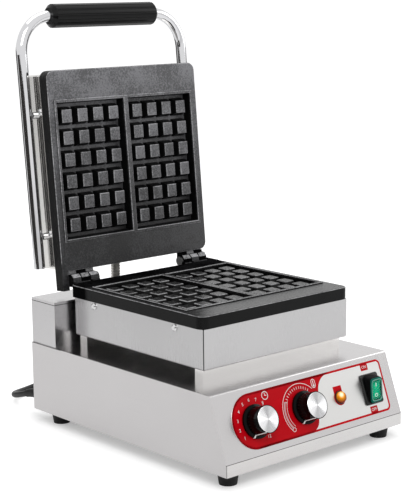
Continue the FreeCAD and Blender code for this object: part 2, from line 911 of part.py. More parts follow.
def cut_cavity(body, side, rim_half, rim_low, rim_high):
    """One waffle's hollow with sloped walls, and its grid of tapered pegs."""
    inner = size.divider_width / 2
    outer = rim_half - size.rim_width
    low = rim_low + size.rim_width
    high = rim_high - size.rim_width
    draft = size.cavity_wall_draft
    mouth = new_sketch(body, "XY_Plane")
    draw_box(mouth, (side * inner, low), (side * outer, high))
    floor = new_sketch(body, "XY_Plane", -size.cavity_depth)
    draw_box(floor, (side * (inner + draft), low + draft), (side * (outer - draft), high - draft))
    add_loft(body, floor, mouth, cut=True)
    floor_wide = outer - inner - 2 * draft
    floor_long = high - low - 2 * draft
    wide = (floor_wide - 2 * size.peg_edge - (PEG_COLUMNS - 1) * size.peg_channel) / PEG_COLUMNS
    tall = (floor_long - 2 * size.peg_edge - (PEG_ROWS - 1) * size.peg_channel) / PEG_ROWS
    x = side * (inner + draft + size.peg_edge + wide / 2)
    y = low + draft + size.peg_edge + tall / 2
    crown = size.peg_crown
    top = size.peg_height - size.cavity_depth
    steps = (
        (-size.cavity_depth, wide, tall),
        (top - crown, size.peg_width, size.peg_length),
        (top, size.peg_width - 2 * crown, size.peg_length - 2 * crown),
    )
    outlines = []
    for level, across, along in steps:
        outline = new_sketch(body, "XY_Plane", level)
        draw_box(outline, (x - across / 2, y - along / 2), (x + across / 2, y + along / 2))
        outlines.append(outline)
    peg = add_loft(body, *outlines)
    grid = body.newObject("PartDesign::LinearPattern", body.Name + "_grid")
    grid.Originals = [peg]
    grid.Direction = (plane_of(body, "X_Axis"), [""])
    grid.Reversed = side < 0
    bind(grid, "Length", (PEG_COLUMNS - 1) * (wide + size.peg_channel))
    grid.Occurrences = PEG_COLUMNS
    grid.Direction2 = (plane_of(body, "Y_Axis"), [""])
    bind(grid, "Length2", (PEG_ROWS - 1) * (tall + size.peg_channel))
    grid.Occurrences2 = PEG_ROWS
    body.Tip = grid
    doc.recompute()


def tray_screw_rows():
    rear = -size.hinge_offset - size.tray_screw_rear
    return (rear, rear - size.tray_screw_pitch)


def side_rods(name, rows, level, diameter):
    """Rods through both side walls of a tray, for its screw holes."""
    rods = []
    reach = size.tray_width + 2 * size.sheet
    for index, y in enumerate(rows):
        spot = (-reach / 2, y, level)
        rods.append(rod_tool(f"{name}_{index}", spot, reach, diameter, (0, 1, 0), 90))
    return rods


def build_tray(label, stand, depth, front_inset, rear_inset, tools):
    """A folded sheet tray under a plate's flange, open towards the plate."""
    body = new_body(label + "_body")
    half = size.tray_width / 2
    rear = -size.hinge_offset - rear_inset
    front = -size.hinge_offset - size.plate_length + front_inset
    sketch = new_sketch(body, "XY_Plane", -flange_drop)
    draw_box(sketch, (-half, front), (half, rear))
    add_pad(body, sketch, depth, back=True)
    add_fillet(body, lambda edge: runs_along(edge, Z_AXIS), size.tray_corner)
    bottom = (-flange_drop - depth).value
    add_fillet(body, lambda edge: abs(edge.BoundBox.ZMax - bottom) < 1e-4, size.tray_corner * 0.9)
    add_shell(body, Z_AXIS)
    hole = size.tray_screw_diameter + 2 * size.seat_gap
    level = -flange_drop - size.tray_screw_drop
    tools = tools + side_rods(label + "_hole", tray_screw_rows(), level, hole)
    tray = cut_with(label, body, tools)
    stand(tray)
    node(label, tray)


def build_tray_screws(label, upper):
    screws = []
    level = -flange_drop - size.tray_screw_drop
    for side in (-1, 1):
        for index, y in enumerate(tray_screw_rows()):
            bolt = screw(
                f"{label}_{index}_{'right' if side > 0 else 'left'}",
                size.tray_screw_diameter, size.tray_screw_length, size.tray_screw_head,
            )
            spot = (side * size.tray_width / 2, y, level)
            place(bolt, spot, (0, 1, 0), 90 * side)
            screws.append(bolt)
    group = group_of(label, screws)
    (on_upper if upper else on_lower)(group)


def build_heating(half, stand, wool_depth):
    """Bent tube heater, its clamp plate and screws, and the wool behind them, all in plate frame."""
    middle = -size.hinge_offset - size.plate_length / 2
    level = -boss_drop - size.seat_gap - size.heater_diameter / 2
    heater = new_body(half + "_heater")
    path = new_sketch(heater, "XY_Plane", level)
    far, near = middle - size.heater_run / 2, middle + size.heater_run / 2
    gap = size.heater_spacing
    start_y = near + size.heater_tail - size.heater_bend
    draw_path(path, [
        (-1.5 * gap, start_y), (-1.5 * gap, far), (-0.5 * gap, far), (-0.5 * gap, near),
        (0.5 * gap, near), (0.5 * gap, far), (1.5 * gap, far), (1.5 * gap, start_y),
    ], size.heater_bend)
    section = new_sketch(heater, "XZ_Plane", -start_y)
    draw_circle(section, (-1.5 * gap, level), size.heater_diameter)
    pipe = heater.newObject("PartDesign::AdditivePipe", half + "_pipe")
    pipe.Profile = section
    pipe.Spine = path
    doc.recompute()
    stand(heater)
    node(half + "_heater", heater)
    clamp_top = level - size.heater_diameter / 2 - size.seat_gap
    clamp = new_body(half + "_heater_clamp")
    outline = new_sketch(clamp, "XY_Plane", clamp_top)
    clamp_half = size.clamp_width / 2
    draw_box(
        outline,
        (-clamp_half, middle - size.clamp_length / 2),
        (clamp_half, middle + size.clamp_length / 2),
    )
    hole = size.clamp_screw_diameter + 2 * size.seat_gap
    for x in (-gap, gap):
        draw_circle(outline, (x, middle), hole)
    add_pad(clamp, outline, size.clamp_sheet, back=True)
    stand(clamp)
    node(half + "_heater_clamp", clamp)
    reach = size.clamp_sheet + size.heater_diameter + size.seat_gap
    bolts = []
    for x in (-gap, gap):
        side = "left" if x.value < 0 else "right"
        bolt = screw(f"{half}_clamp_screw_{side}", size.clamp_screw_diameter, reach, size.clamp_screw_head)
        place(bolt, (x, middle, clamp_top - size.clamp_sheet), (1, 0, 0), 180)
        bolts.append(bolt)
    stand(group_of(half + "_clamp_screws", bolts))
    wool_top = clamp_top - size.clamp_sheet - size.screw_head_height - size.fit_gap
    wool = new_body(half + "_wool")
    fleece = new_sketch(wool, "XY_Plane", -flange_drop - wool_depth + size.sheet)
    wool_half = size.wool_width / 2
    draw_box(
        fleece,
        (-wool_half, middle - size.wool_length / 2), (wool_half, middle + size.wool_length / 2),
    )
    add_pad(wool, fleece, wool_top + flange_drop + wool_depth - size.sheet)
    stand(wool)
    node(half + "_wool", wool)


def build_bulb():
    """The thermostat's sensing bulb, held against the lower plate between two heater runs."""
    bulb = new_body("thermostat_bulb")
    middle = -size.hinge_offset - size.plate_length / 2
    level = -boss_drop - size.seat_gap - size.bulb_diameter / 2
    sketch = new_sketch(bulb, "XZ_Plane", -middle)
    draw_circle(sketch, (0, level), size.bulb_diameter)
    add_pad(bulb, sketch, size.bulb_length, middle=True)
    on_lower(bulb)
    node("thermostat_bulb", bulb)


def build_hinge_pins():
    """A headed pin on each side, pushed in from the middle through three lugs."""
    spacing = size.lug_width + size.lug_gap
    length = 2 * spacing + size.lug_width
    radius = size.pin_diameter / 2
    head = size.pin_head_diameter / 2
    for name, side in (("hinge_pin_left", -1), ("hinge_pin_right", 1)):
        pin = new_body(name)
        add_revolution(pin, [
            (0, -length + size.fit_gap), (radius, -length + size.fit_gap), (radius, size.seat_gap),
            (head, size.seat_gap), (head, size.pin_head_height), (0, size.pin_head_height),
        ])
        x = side * (size.hinge_centre - length / 2)
        place(pin, (x, hinge_y, mate_z), (0, 1, 0), -90 * side)
        node(name, pin)


# Handle: a bent tube along both sides of the lid's cover, with a fluted grip across the front.
def handle_screw_rows():
    rear = -size.handle_screw_rear
    return (rear, rear - size.handle_screw_pitch)


def build_handle():
    tube = new_body("handle_tube_body")
    half = size.handle_span / 2
    path = new_sketch(tube, "XY_Plane", size.handle_level)
    draw_path(path, [
        (-half, -size.handle_start), (-half, -size.handle_reach),
        (half, -size.handle_reach), (half, -size.handle_start),
    ], size.handle_bend)
    section = new_sketch(tube, "XZ_Plane", size.handle_start)
    draw_circle(section, (-half, size.handle_level), size.handle_tube_diameter)
    draw_circle(section, (-half, size.handle_level), size.handle_tube_diameter - 2 * size.handle_tube_wall)
    pipe = tube.newObject("PartDesign::AdditivePipe", "handle_pipe")
    pipe.Profile = section
    pipe.Spine = path
    doc.recompute()
    reach = size.handle_span
    holes = []
    for index, y in enumerate(handle_screw_rows()):
        start = (-reach / 2, y, size.handle_level)
        bore = size.handle_screw_diameter + 2 * size.seat_gap
        holes.append(rod_tool(f"handle_hole_{index}", start, reach, bore, (0, 1, 0), 90))
    drilled = cut_with("handle_tube", tube, holes)
    on_lid(drilled)
    node("handle_tube", drilled)
    build_handle_fixings()
    grip = new_body("handle_grip")
    sleeve = new_sketch(grip, "YZ_Plane")
    draw_circle(sleeve, (0, 0), size.grip_diameter)
    draw_circle(sleeve, (0, 0), size.handle_tube_diameter + 2 * size.seat_gap)
    add_pad(grip, sleeve, size.grip_length, middle=True)
    radius = (size.grip_diameter / 2).value
    add_chamfer(grip, lambda edge: is_circle(edge, radius), size.grip_chamfer)
    flute = new_sketch(grip, "YZ_Plane")
    draw_circle(flute, (0, size.grip_diameter / 2 + size.grip_flute * 0.3), 2 * size.grip_flute)
    groove = add_pocket(grip, flute, size.grip_length * 2, middle=True)
    add_ring(grip, groove, "X_Axis", size.grip_flute_count)
    on_lid(grip, 0, -size.handle_reach, size.handle_level)
    node("handle_grip", grip)


def is_circle(edge, radius):
    return isinstance(edge.Curve, Part.Circle) and abs(edge.Curve.Radius - radius) < 1e-6


def build_handle_fixings():
    """Spacers between the handle's legs and the cover, and the screws put in from inside."""
    gap = (size.handle_span - size.handle_tube_diameter - size.tray_width) / 2
    spacers, screws = [], []
    wall = size.tray_width / 2
    for side in (-1, 1):
        word = "right" if side > 0 else "left"
        for index, y in enumerate(handle_screw_rows()):
            spacer = new_body(f"handle_spacer_{index}_{word}")
            sketch = new_sketch(spacer, "YZ_Plane")
            draw_circle(sketch, (0, 0), size.spacer_diameter)
            draw_circle(sketch, (0, 0), size.handle_screw_diameter + 2 * size.seat_gap)
            add_pad(spacer, sketch, gap - size.seat_gap, middle=True)
            place(spacer, (side * (wall + gap / 2), y, size.handle_level))
            spacers.append(spacer)
            reach = size.sheet + gap + size.handle_tube_wall * 2
            bolt = screw(
                f"handle_screw_{index}_{word}",
                size.handle_screw_diameter, reach, size.handle_screw_head,
            )
            place(bolt, (side * (wall - size.sheet), y, size.handle_level), (0, 1, 0), -90 * side)
            screws.append(bolt)
    on_lid(group_of("handle_spacers", spacers))
    on_lid(group_of("handle_screws", screws))


# Rear box: the cable way from the base up to the lid.
def build_rear_box():
    half = size.rear_box_width / 2
    front = rear_y - size.rear_box_depth
    box = new_body("rear_box")
    sketch = new_sketch(box, "XY_Plane", base_top)
    draw_box(sketch, (-half, front), (half, rear_y))
    wall = size.sheet
    draw_box(sketch, (-half + wall, front + wall), (half - wall, rear_y - wall))
    add_pad(box, sketch, size.rear_box_height - size.cap_height)
    node("rear_box", box)
    cap = new_body("rear_box_cap_body")
    level = base_top + size.rear_box_height - size.cap_height
    lid = new_sketch(cap, "XY_Plane", level)
    draw_box(lid, (-half, front), (half, rear_y))
    add_pad(cap, lid, size.cap_height)
    add_shell(cap, -Z_AXIS)
    hole = rod_tool(
        "conduit_hole", (size.conduit_x, hinge_y + size.conduit_behind_axis, level),
        size.cap_height * 2, size.conduit_diameter + 2 * size.fit_gap, (1, 0, 0), 0,
    )
    node("rear_box_cap", cut_with("rear_box_cap", cap, [hole]))


def conduit_ends():
    """Heights of the cap's top and of the open cover's lower end on the conduit's line."""
    low = base_top + size.rear_box_height
    lean = size.lid_open_angle - 90
    end = size.hinge_offset + size.cover_rear_inset
    high = mate_z + (end - sine(lean) * size.conduit_behind_axis) / cosine(lean)
    return low, high


def build_conduit():
    """Ribbed metal conduit from the rear box into the open cover, with a nut at each end."""
    low, high = conduit_ends()
    outer = (size.conduit_diameter / 2).value
    root = outer - SIZES["conduit_groove"]
    bore = (size.conduit_bore / 2).value
    overlap = 2 * SIZES["sheet"]
    start = low.value - overlap
    length = high.value - low.value + 2 * overlap
    count = int(length / SIZES["conduit_pitch"])
    pitch = length / count
    outline = [(bore, 0.0), (bore, length)]
    for index in reversed(range(count)):
        base = index * pitch
        for radius, share in ((root, 1.0), (root, 0.75), (outer, 0.6), (outer, 0.15), (root, 0.0)):
            outline.append((radius, base + share * pitch))
    points = [FreeCAD.Vector(radius, 0, height) for radius, height in outline]
    wire = Part.makePolygon(points + points[:1])
    hose = doc.addObject("Part::Feature", "wiring_conduit")
    turned = Part.Face(wire).revolve(FreeCAD.Vector(0, 0, 0), Z_AXIS, 360)
    hose.Shape = Part.Solid(turned.Shells[0]) if turned.ShapeType != "Solid" else turned
    y = (hinge_y + size.conduit_behind_axis).value
    hose.Placement = FreeCAD.Placement(FreeCAD.Vector(SIZES["conduit_x"], y, start), FreeCAD.Rotation())
    node("wiring_conduit", hose)
    bore_size = size.conduit_diameter + 2 * size.seat_gap
    nut = hex_nut("conduit_nut_lower", size.conduit_nut_width, size.conduit_nut_height, bore_size)
    place(nut, (size.conduit_x, hinge_y + size.conduit_behind_axis, low))
    node("conduit_nut_lower", nut)


def cover_openings():
    """What is cut out of the lid's cover besides its own screw holes, in plate frame."""
    hole = size.handle_screw_diameter + 2 * size.seat_gap
    tools = side_rods("cover_handle_hole", handle_screw_rows(), -size.handle_level, hole)
    end = -size.hinge_offset - size.cover_rear_inset - 2 * size.sheet
    width = size.conduit_diameter + 2 * size.conduit_groove + 2 * size.fit_gap
    middle = -size.conduit_behind_axis
    tools.append(box_tool(
        "cover_conduit_hole",
        (-size.conduit_x - width / 2, end, middle - width / 2),
        (-size.conduit_x + width / 2, end + 4 * size.sheet, middle + width / 2),
    ))
    return tools


def housing_openings():
    """The cable way through the housing's rear wall, in plate frame."""
    rear = -size.hinge_offset - size.housing_rear_inset
    low = -flange_drop - size.housing_depth + 2 * size.sheet
    half = size.cable_way_width / 4
    return [box_tool(
        "housing_cable_hole",
        (-half, rear - 2 * size.sheet, low), (half, rear + size.sheet, low + size.cable_way_depth / 2),
    )]


# Control panel: overlay, timer, thermostat, lamp and switch on the sloped front.
def build_overlay():
    body = new_body("control_overlay")
    sketch = new_sketch(body, "XY_Plane")
    draw_box(sketch, (-size.overlay_left, size.overlay_bottom), (size.overlay_right, size.overlay_top))
    for across in (size.timer_x, size.thermostat_x):
        draw_circle(sketch, (across, size.control_level), size.bushing_diameter + 2 * size.fit_gap)
    stem = size.lamp_stem_diameter + 2 * size.fit_gap
    draw_circle(sketch, (size.lamp_x, size.control_level), stem)
    wide = size.switch_body_width / 2 + size.fit_gap
    tall = size.switch_body_height / 2 + size.fit_gap
    draw_box(
        sketch,
        (size.switch_x - wide, size.control_level - tall),
        (size.switch_x + wide, size.control_level + tall),
    )
    add_pad(body, sketch, size.overlay_sheet)
    right, left = SIZES["overlay_right"], -SIZES["overlay_left"]
    corner = size.overlay_corner
    add_fillet(body, lambda edge: stands_at(edge, right), corner)
    round_end = (size.overlay_top - size.overlay_bottom - size.overlay_end_flat) / 2
    add_fillet(body, lambda edge: stands_at(edge, left), round_end)
    on_panel(body)
    node("control_overlay", body)


def stands_at(edge, x):
    return runs_along(edge, Z_AXIS) and abs(edge.CenterOfMass.x - x) < 1e-4


def build_rotary(label, across, width, depth):
    """A panel-mounted rotary control: case with threaded bushing, shaft, knob and knob cap."""
    case = new_body(label)
    outline = new_sketch(case, "XY_Plane", -size.sheet)
    half = width / 2
    draw_box(outline, (-half, -half), (half, half))
    add_pad(case, outline, depth, back=True)
    add_fillet(case, lambda edge: runs_along(edge, Z_AXIS), width / 8)
    bushing = new_sketch(case, "XY_Plane", -size.sheet)
    draw_circle(bushing, (0, 0), size.bushing_diameter)
    add_pad(case, bushing, size.bushing_height + size.sheet)
    bore = new_sketch(case, "XY_Plane", size.bushing_height)
    draw_circle(bore, (0, 0), size.shaft_diameter + 2 * size.running_gap)
    add_pocket(case, bore, size.bushing_height + size.shaft_depth + size.fit_gap)
    on_panel(case, across, size.control_level)
    node(label, case)
    shaft = new_body(label + "_shaft")
    radius = size.shaft_diameter / 2
    roof = size.overlay_sheet + size.knob_lift + size.knob_recess_depth
    shaft_top = size.overlay_sheet + size.knob_lift + size.knob_height - size.knob_cap_height - size.sheet
    add_revolution(shaft, [
        (0, -size.shaft_depth), (radius, -size.shaft_depth), (radius, shaft_top), (0, shaft_top),
    ])
    on_panel(shaft, across, size.control_level)
    node(label + "_shaft", shaft)
    build_knob(label, across, roof, shaft_top)


def build_bushing_nuts():
    """The nuts that hold both rotary controls to the panel, under their knobs."""
    nuts = []
    bore = size.bushing_diameter + 2 * size.seat_gap
    for name, across in (("timer_nut", size.timer_x), ("thermostat_nut", size.thermostat_x)):
        nut = hex_nut(name, size.bushing_nut_width, size.bushing_nut_height, bore)
        centre_on_panel(nut, across, size.control_level, size.overlay_sheet)
        nuts.append(nut)
    group_of("bushing_nuts", nuts)


def build_knob(label, across, roof, shaft_top):
    foot = size.overlay_sheet + size.knob_lift
    top = foot + size.knob_height
    skirt = size.knob_skirt_diameter / 2
    waist = size.knob_diameter / 2
    crown = waist - size.knob_taper
    cap_seat = size.knob_cap_diameter / 2 + size.seat_gap
    cap_floor = top - size.knob_cap_height + size.seat_gap * 4
    recess = size.knob_recess_diameter / 2
    bore = size.shaft_diameter / 2 + size.seat_gap / 2
    bore_top = shaft_top + size.seat_gap
    knob = new_body(label + "_knob")
    add_revolution(knob, [
        (recess, foot), (skirt, foot), (skirt, foot + size.knob_skirt_height),
        (waist, foot + size.knob_skirt_height * 1.5), (crown, top), (cap_seat, top),
        (cap_seat, cap_floor), (0, cap_floor), (0, bore_top), (bore, bore_top),
        (bore, roof), (recess, roof),
    ])
    flute = new_sketch(knob, "XY_Plane", foot + size.knob_skirt_height * 2)
    draw_circle(flute, (waist + size.knob_flute * 0.2, 0), 2 * size.knob_flute)
    groove = add_pocket(knob, flute, size.knob_height, back=True)
    add_ring(knob, groove, "Z_Axis", size.knob_flute_count)
    on_panel(knob, across, size.control_level)
    node(label + "_knob", knob)
    cap = new_body(label + "_knob_cap")
    edge = size.knob_cap_diameter / 2
    add_revolution(cap, [
        (0, cap_floor), (edge, cap_floor), (edge, top + size.seat_gap),
        (edge * 0.96, top + size.seat_gap * 6), (edge * 0.5, top + size.seat_gap * 4),
        (0, top + size.seat_gap * 3),
    ])
    on_panel(cap, across, size.control_level)
    node(label + "_knob_cap", cap)


def build_lamp():
    """Pilot lamp: a collar and lens on the panel, and the lamp holder behind it."""
    seat = size.overlay_sheet
    stem = size.lamp_stem_diameter / 2
    holder = new_body("indicator_holder")
    collar = size.lamp_collar_diameter / 2
    lens_radius = size.lamp_lens_diameter / 2
    collar_top = seat + size.sheet
    add_revolution(holder, [
        (0, -size.lamp_stem_length), (stem * 0.8, -size.lamp_stem_length),
        (stem * 0.8, -size.lamp_stem_length * 0.6), (stem, -size.lamp_stem_length * 0.6),
        (stem, seat), (collar, seat), (collar, collar_top), (lens_radius + size.seat_gap, collar_top),
        (lens_radius + size.seat_gap, collar_top - size.sheet / 2), (0, collar_top - size.sheet / 2),
    ])
    on_panel(holder, size.lamp_x, size.control_level)
    node("indicator_holder", holder)
    lens = new_body("indicator_lens")
    low = collar_top - size.sheet / 2
    high = low + size.lamp_lens_height
    add_revolution(lens, [
        (0, low), (lens_radius, low), (lens_radius, low + size.lamp_lens_height * 0.55),
        (lens_radius * 0.85, low + size.lamp_lens_height * 0.85), (lens_radius * 0.5, high), (0, high),
    ])
    on_panel(lens, size.lamp_x, size.control_level)
    node("indicator_lens", lens)


def build_switch():
    """Sealed rocker switch: frame and body in one piece, rocker on a pivot rod, soft clear boot, blades."""
    frame = new_body("switch_frame")
    seat = size.overlay_sheet
    bezel_top = seat + size.switch_bezel
    bezel = new_sketch(frame, "XY_Plane", seat)
    wide, tall = size.switch_width / 2, size.switch_height / 2
    draw_box(bezel, (-wide, -tall), (wide, tall))
    add_pad(frame, bezel, size.switch_bezel)
    add_fillet(frame, lambda edge: runs_along(edge, Z_AXIS), size.switch_bezel)
    add_chamfer(frame, lambda edge: abs(edge.BoundBox.ZMin - bezel_top.value) < 1e-4, size.switch_bezel / 3)
    body = new_sketch(frame, "XY_Plane", seat)
    body_wide, body_tall = size.switch_body_width / 2, size.switch_body_height / 2
    draw_box(body, (-body_wide, -body_tall), (body_wide, body_tall))
    add_pad(frame, body, size.switch_body_depth, back=True)
    well_wide = size.rocker_width / 2 + size.rocker_gap
    recess = new_sketch(frame, "XY_Plane", bezel_top)
    recess_tall = size.rocker_radius + size.rocker_gap
    draw_box(recess, (-well_wide, -recess_tall), (well_wide, recess_tall))
    add_pocket(frame, recess, size.switch_bezel - size.rocker_gap)
    well = new_sketch(frame, "XY_Plane", bezel_top)
    well_tall = size.rocker_stem / 2 + 4 * size.rocker_gap
    draw_box(well, (-well_wide, -well_tall), (well_wide, well_tall))
    add_pocket(frame, well, bezel_top + size.rocker_depth * 2.5)
    pivot = new_sketch(frame, "YZ_Plane")
    draw_circle(pivot, (0, 0), size.rocker_pivot_diameter)
    add_pad(frame, pivot, size.switch_body_width - size.sheet, middle=True)
    on_panel(frame, size.switch_x, size.control_level)
    node("switch_frame", frame)
    build_rocker()
    build_boot(bezel_top)
    blades = []
    back = size.switch_body_depth - seat
    for x in (-0.25, 0.25):
        for y in (-0.25, 0.25):
            blade = doc.addObject("Part::Box", "switch_blade")
            bind(blade, "Length", size.clamp_sheet / 2)
            bind(blade, "Width", size.clamp_screw_diameter)
            bind(blade, "Height", size.clamp_screw_head)
            spot = (
                x * size.switch_body_width - size.clamp_sheet / 4,
                y * size.switch_body_height - size.clamp_screw_diameter / 2,
                -back - size.clamp_screw_head,
            )
            place(blade, spot)
            blades.append(blade)
    on_panel(group_of("switch_blades", blades), size.switch_x, size.control_level)


def build_boot(bezel_top):
    """The soft clear cap over the rocker: its foot stands on the bezel, its face leans with the rocker."""
    boot = new_body("switch_boot")
    for inset, inside in ((0 * size.boot_wall, False), (size.boot_wall, True)):
        corner = size.boot_corner - inset / 2
        foot = new_sketch(boot, "XY_Plane", bezel_top)
        draw_cut_box(foot, size.boot_width / 2 - inset, size.boot_height / 2 - inset, corner)
        levels = [foot]
        for drop in (size.boot_edge, 0 * size.boot_edge):
            level = new_leaning_sketch(boot, size.rocker_tilt, size.boot_reach - inset - drop)
            narrower = inset + size.boot_edge - drop
            wide, tall = size.boot_face_width / 2 - narrower, size.boot_face_height / 2 - narrower
            draw_cut_box(level, wide, tall, corner)
            levels.append(level)
        add_loft(boot, *levels, cut=inside)
    on_panel(boot, size.switch_x, size.control_level)
    node("switch_boot", boot)


def build_rocker():
    """A rocker on a narrow stem: its head is cut from a drum about the pivot, with a shallow valley across it."""
    rocker = new_body("switch_rocker")
    radius = size.rocker_radius
    drum = new_sketch(rocker, "YZ_Plane")
    draw_circle(drum, (0, 0), 2 * radius)
    draw_circle(drum, (0, 0), size.rocker_pivot_diameter + 2 * size.running_gap)
    add_pad(rocker, drum, size.rocker_width, middle=True)
    valley = new_sketch(rocker, "YZ_Plane")
    brim = size.rocker_brim
    draw_outline(valley, [
        (0, size.rocker_valley), (radius, brim), (radius, 2 * radius), (-radius, 2 * radius), (-radius, brim),
    ])
    add_pocket(rocker, valley, size.rocker_width * 2, middle=True)
    underside = new_sketch(rocker, "YZ_Plane")
    stem, far = size.rocker_stem / 2, 2 * radius
    draw_outline(underside, [
        (-far, -far), (far, -far), (far, size.rocker_head), (stem, size.rocker_head),
        (stem, -size.rocker_depth), (-stem, -size.rocker_depth), (-stem, size.rocker_head), (-far, size.rocker_head),
    ])
    add_pocket(rocker, underside, size.rocker_width * 2, middle=True)
    y = front_y + cosine(panel_angle) * size.control_level
    z = base_bottom + size.lip_height + sine(panel_angle) * size.control_level
    place(rocker, (size.switch_x, y, z), (1, 0, 0), panel_angle + size.rocker_tilt)
    node("switch_rocker", rocker)


def build_terminal_block():
    """Mains terminal strip on the pan's floor."""
    block = new_body("terminal_block")
    floor = base_bottom + size.sheet
    strip = new_sketch(block, "XY_Plane", floor)
    x = size.gland_x + size.terminal_width
    y = rear_y - size.terminal_width
    draw_box(strip, (x, y), (x + size.terminal_width, y + size.terminal_depth))
    add_pad(block, strip, size.terminal_height / 2)
    ridge = new_sketch(block, "XY_Plane", floor)
    inset = size.terminal_depth / 5
    draw_box(ridge, (x, y + inset), (x + size.terminal_width, y + size.terminal_depth - inset))
    add_pad(block, ridge, size.terminal_height)
    node("terminal_block", block)


# Mains lead: gland with strain relief on the rear wall, a short run, a put-away coil and a plug.
def build_gland():
    gland_z = base_bottom + size.gland_level
    droop = math.radians(SIZES["relief_droop"])
    bend = SIZES["relief_length"] / math.sin(droop)
    wall_y = rear_y.value
    relief_y = wall_y + SIZES["gland_flange_height"]
    rings = []
    for share in (0.0, 0.35, 0.7, 1.0):
        turn = droop * share
        spot = FreeCAD.Vector(
            SIZES["gland_x"],
            relief_y + bend * math.sin(turn),
            gland_z.value - bend * (1 - math.cos(turn)),
        )
        way = FreeCAD.Vector(0, math.cos(turn), -math.sin(turn))
        start, end = SIZES["relief_start_diameter"], SIZES["relief_end_diameter"]
        radius = (start + (end - start) * share) / 2
        rings.append(Part.Wire(Part.makeCircle(radius, spot, way)))
    relief = Part.makeLoft(rings, True, False)
    centre = FreeCAD.Vector(SIZES["gland_x"], wall_y, gland_z.value)
    flange = Part.makeCylinder(
        SIZES["gland_flange_diameter"] / 2, SIZES["gland_flange_height"], centre, Y_AXIS)
    stem_length = SIZES["gland_stem_length"]
    stem = Part.makeCylinder(
        SIZES["gland_stem_diameter"] / 2, stem_length, centre - Y_AXIS * stem_length, Y_AXIS)
    gland = doc.addObject("Part::Feature", "cord_gland")
    gland.Shape = flange.fuse([stem, relief]).removeSplitter()
    node("cord_gland", gland)
    nut = hex_nut(
        "cord_gland_nut", size.gland_nut_width, size.gland_nut_height,
        size.gland_stem_diameter + 2 * size.seat_gap,
    )
    place(nut, (size.gland_x, rear_y - size.sheet, gland_z), (1, 0, 0), 90)
    node("cord_gland_nut", nut)
    return spot, way


def rounded_route(points):
    """Straight runs through the points, each corner rounded as far as its shorter run allows."""
    edges = []
    radii = []
    start = points[0]
    for before, corner, after in zip(points, points[1:], points[2:]):
        way_in = corner - before
        way_out = after - corner
        shorter = min(way_in.Length, way_out.Length)
        turn = way_in.getAngle(way_out)
        trim = 0.45 * shorter
        radii.append(trim / math.tan(turn / 2))
        way_in.normalize()
        way_out.normalize()
        enter = corner - way_in * trim
        leave = corner + way_out * trim
        inward = way_out - way_in
        inward.normalize()
        depth = radii[-1] / math.cos(turn / 2) - radii[-1]
        edges.append(Part.makeLine(start, enter))
        edges.append(Part.Arc(enter, corner + inward * depth, leave).toShape())
        start = leave
    edges.append(Part.makeLine(start, points[-1]))
    return Part.Wire(edges), radii


def lead_tube(label, points):
    """One free stretch of the lead as a round tube along its route."""
    wire, radii = rounded_route(points)
    radius = SIZES["cord_diameter"] / 2
    way = points[1] - points[0]
    ring = Part.Wire(Part.makeCircle(radius, points[0], way))
    tube = wire.makePipeShell([ring], True, False)
    ideal = math.pi * radius ** 2 * wire.Length
    print(f"{label}: length {wire.Length:.1f}, volume ratio {tube.Volume / ideal:.4f}, radii",
          [round(value) for value in radii])
    stretch = doc.addObject("Part::Feature", label)
    stretch.Shape = tube
    node(label, stretch)


def biarc(start, way_in, end, way_out):
    """Two tangent arcs from one point and heading to another, with end handles of equal length."""
    gap = end - start
    along = gap.dot(way_in + way_out)
    spread = 2 * (1 - way_in.dot(way_out))
    reach = (-along + math.sqrt(along ** 2 + spread * gap.dot(gap))) / spread
    first = start + way_in * reach
    last = end - way_out * reach
    joint = (first + last) * 0.5
    return [tangent_arc(start, first, joint), tangent_arc(joint, last, end)]


def tangent_arc(start, handle, end):
    """The arc from start to end whose end tangents meet at the handle."""
    middle = (start + end) * 0.5
    rise = handle - middle
    half_chord = (end - start).Length / 2
    bulge = half_chord * math.tan(math.atan2(rise.Length, half_chord) / 2)
    rise.normalize()
    return Part.Arc(start, middle + rise * bulge, end).toShape()


def coil_spots():
    """Points and headings at each quarter turn: in on the lower layer, up, and out on the upper."""
    pitch = SIZES["coil_pitch"]
    outer = SIZES["coil_outer_radius"]
    reverse = SPIRAL_QUARTERS + CLIMB_QUARTERS / 2
    inner = outer - pitch * reverse / 4
    radius = SIZES["cord_diameter"] / 2
    floor = SIZES["tie_thickness"] + SIZES["fit_gap"] + radius
    total = 2 * SPIRAL_QUARTERS + CLIMB_QUARTERS
    spots = []
    for step in range(total + 1):
        climb = min(max(step - SPIRAL_QUARTERS, 0), CLIMB_QUARTERS) / CLIMB_QUARTERS
        reach = inner + pitch * abs(step - reverse) / 4
        angle = math.pi / 2 * (1 - step)
        x = SIZES["coil_x"] + reach * math.cos(angle)
        y = SIZES["coil_y"] + reach * math.sin(angle)
        rising = 0 < climb < 1
        rate = pitch / (CLIMB_QUARTERS * math.pi / 2 * inner) if rising else 0.0
        way = FreeCAD.Vector(math.sin(angle), -math.cos(angle), rate)
        way.normalize()
        spots.append((FreeCAD.Vector(x, y, floor + pitch * climb), way))
    return spots


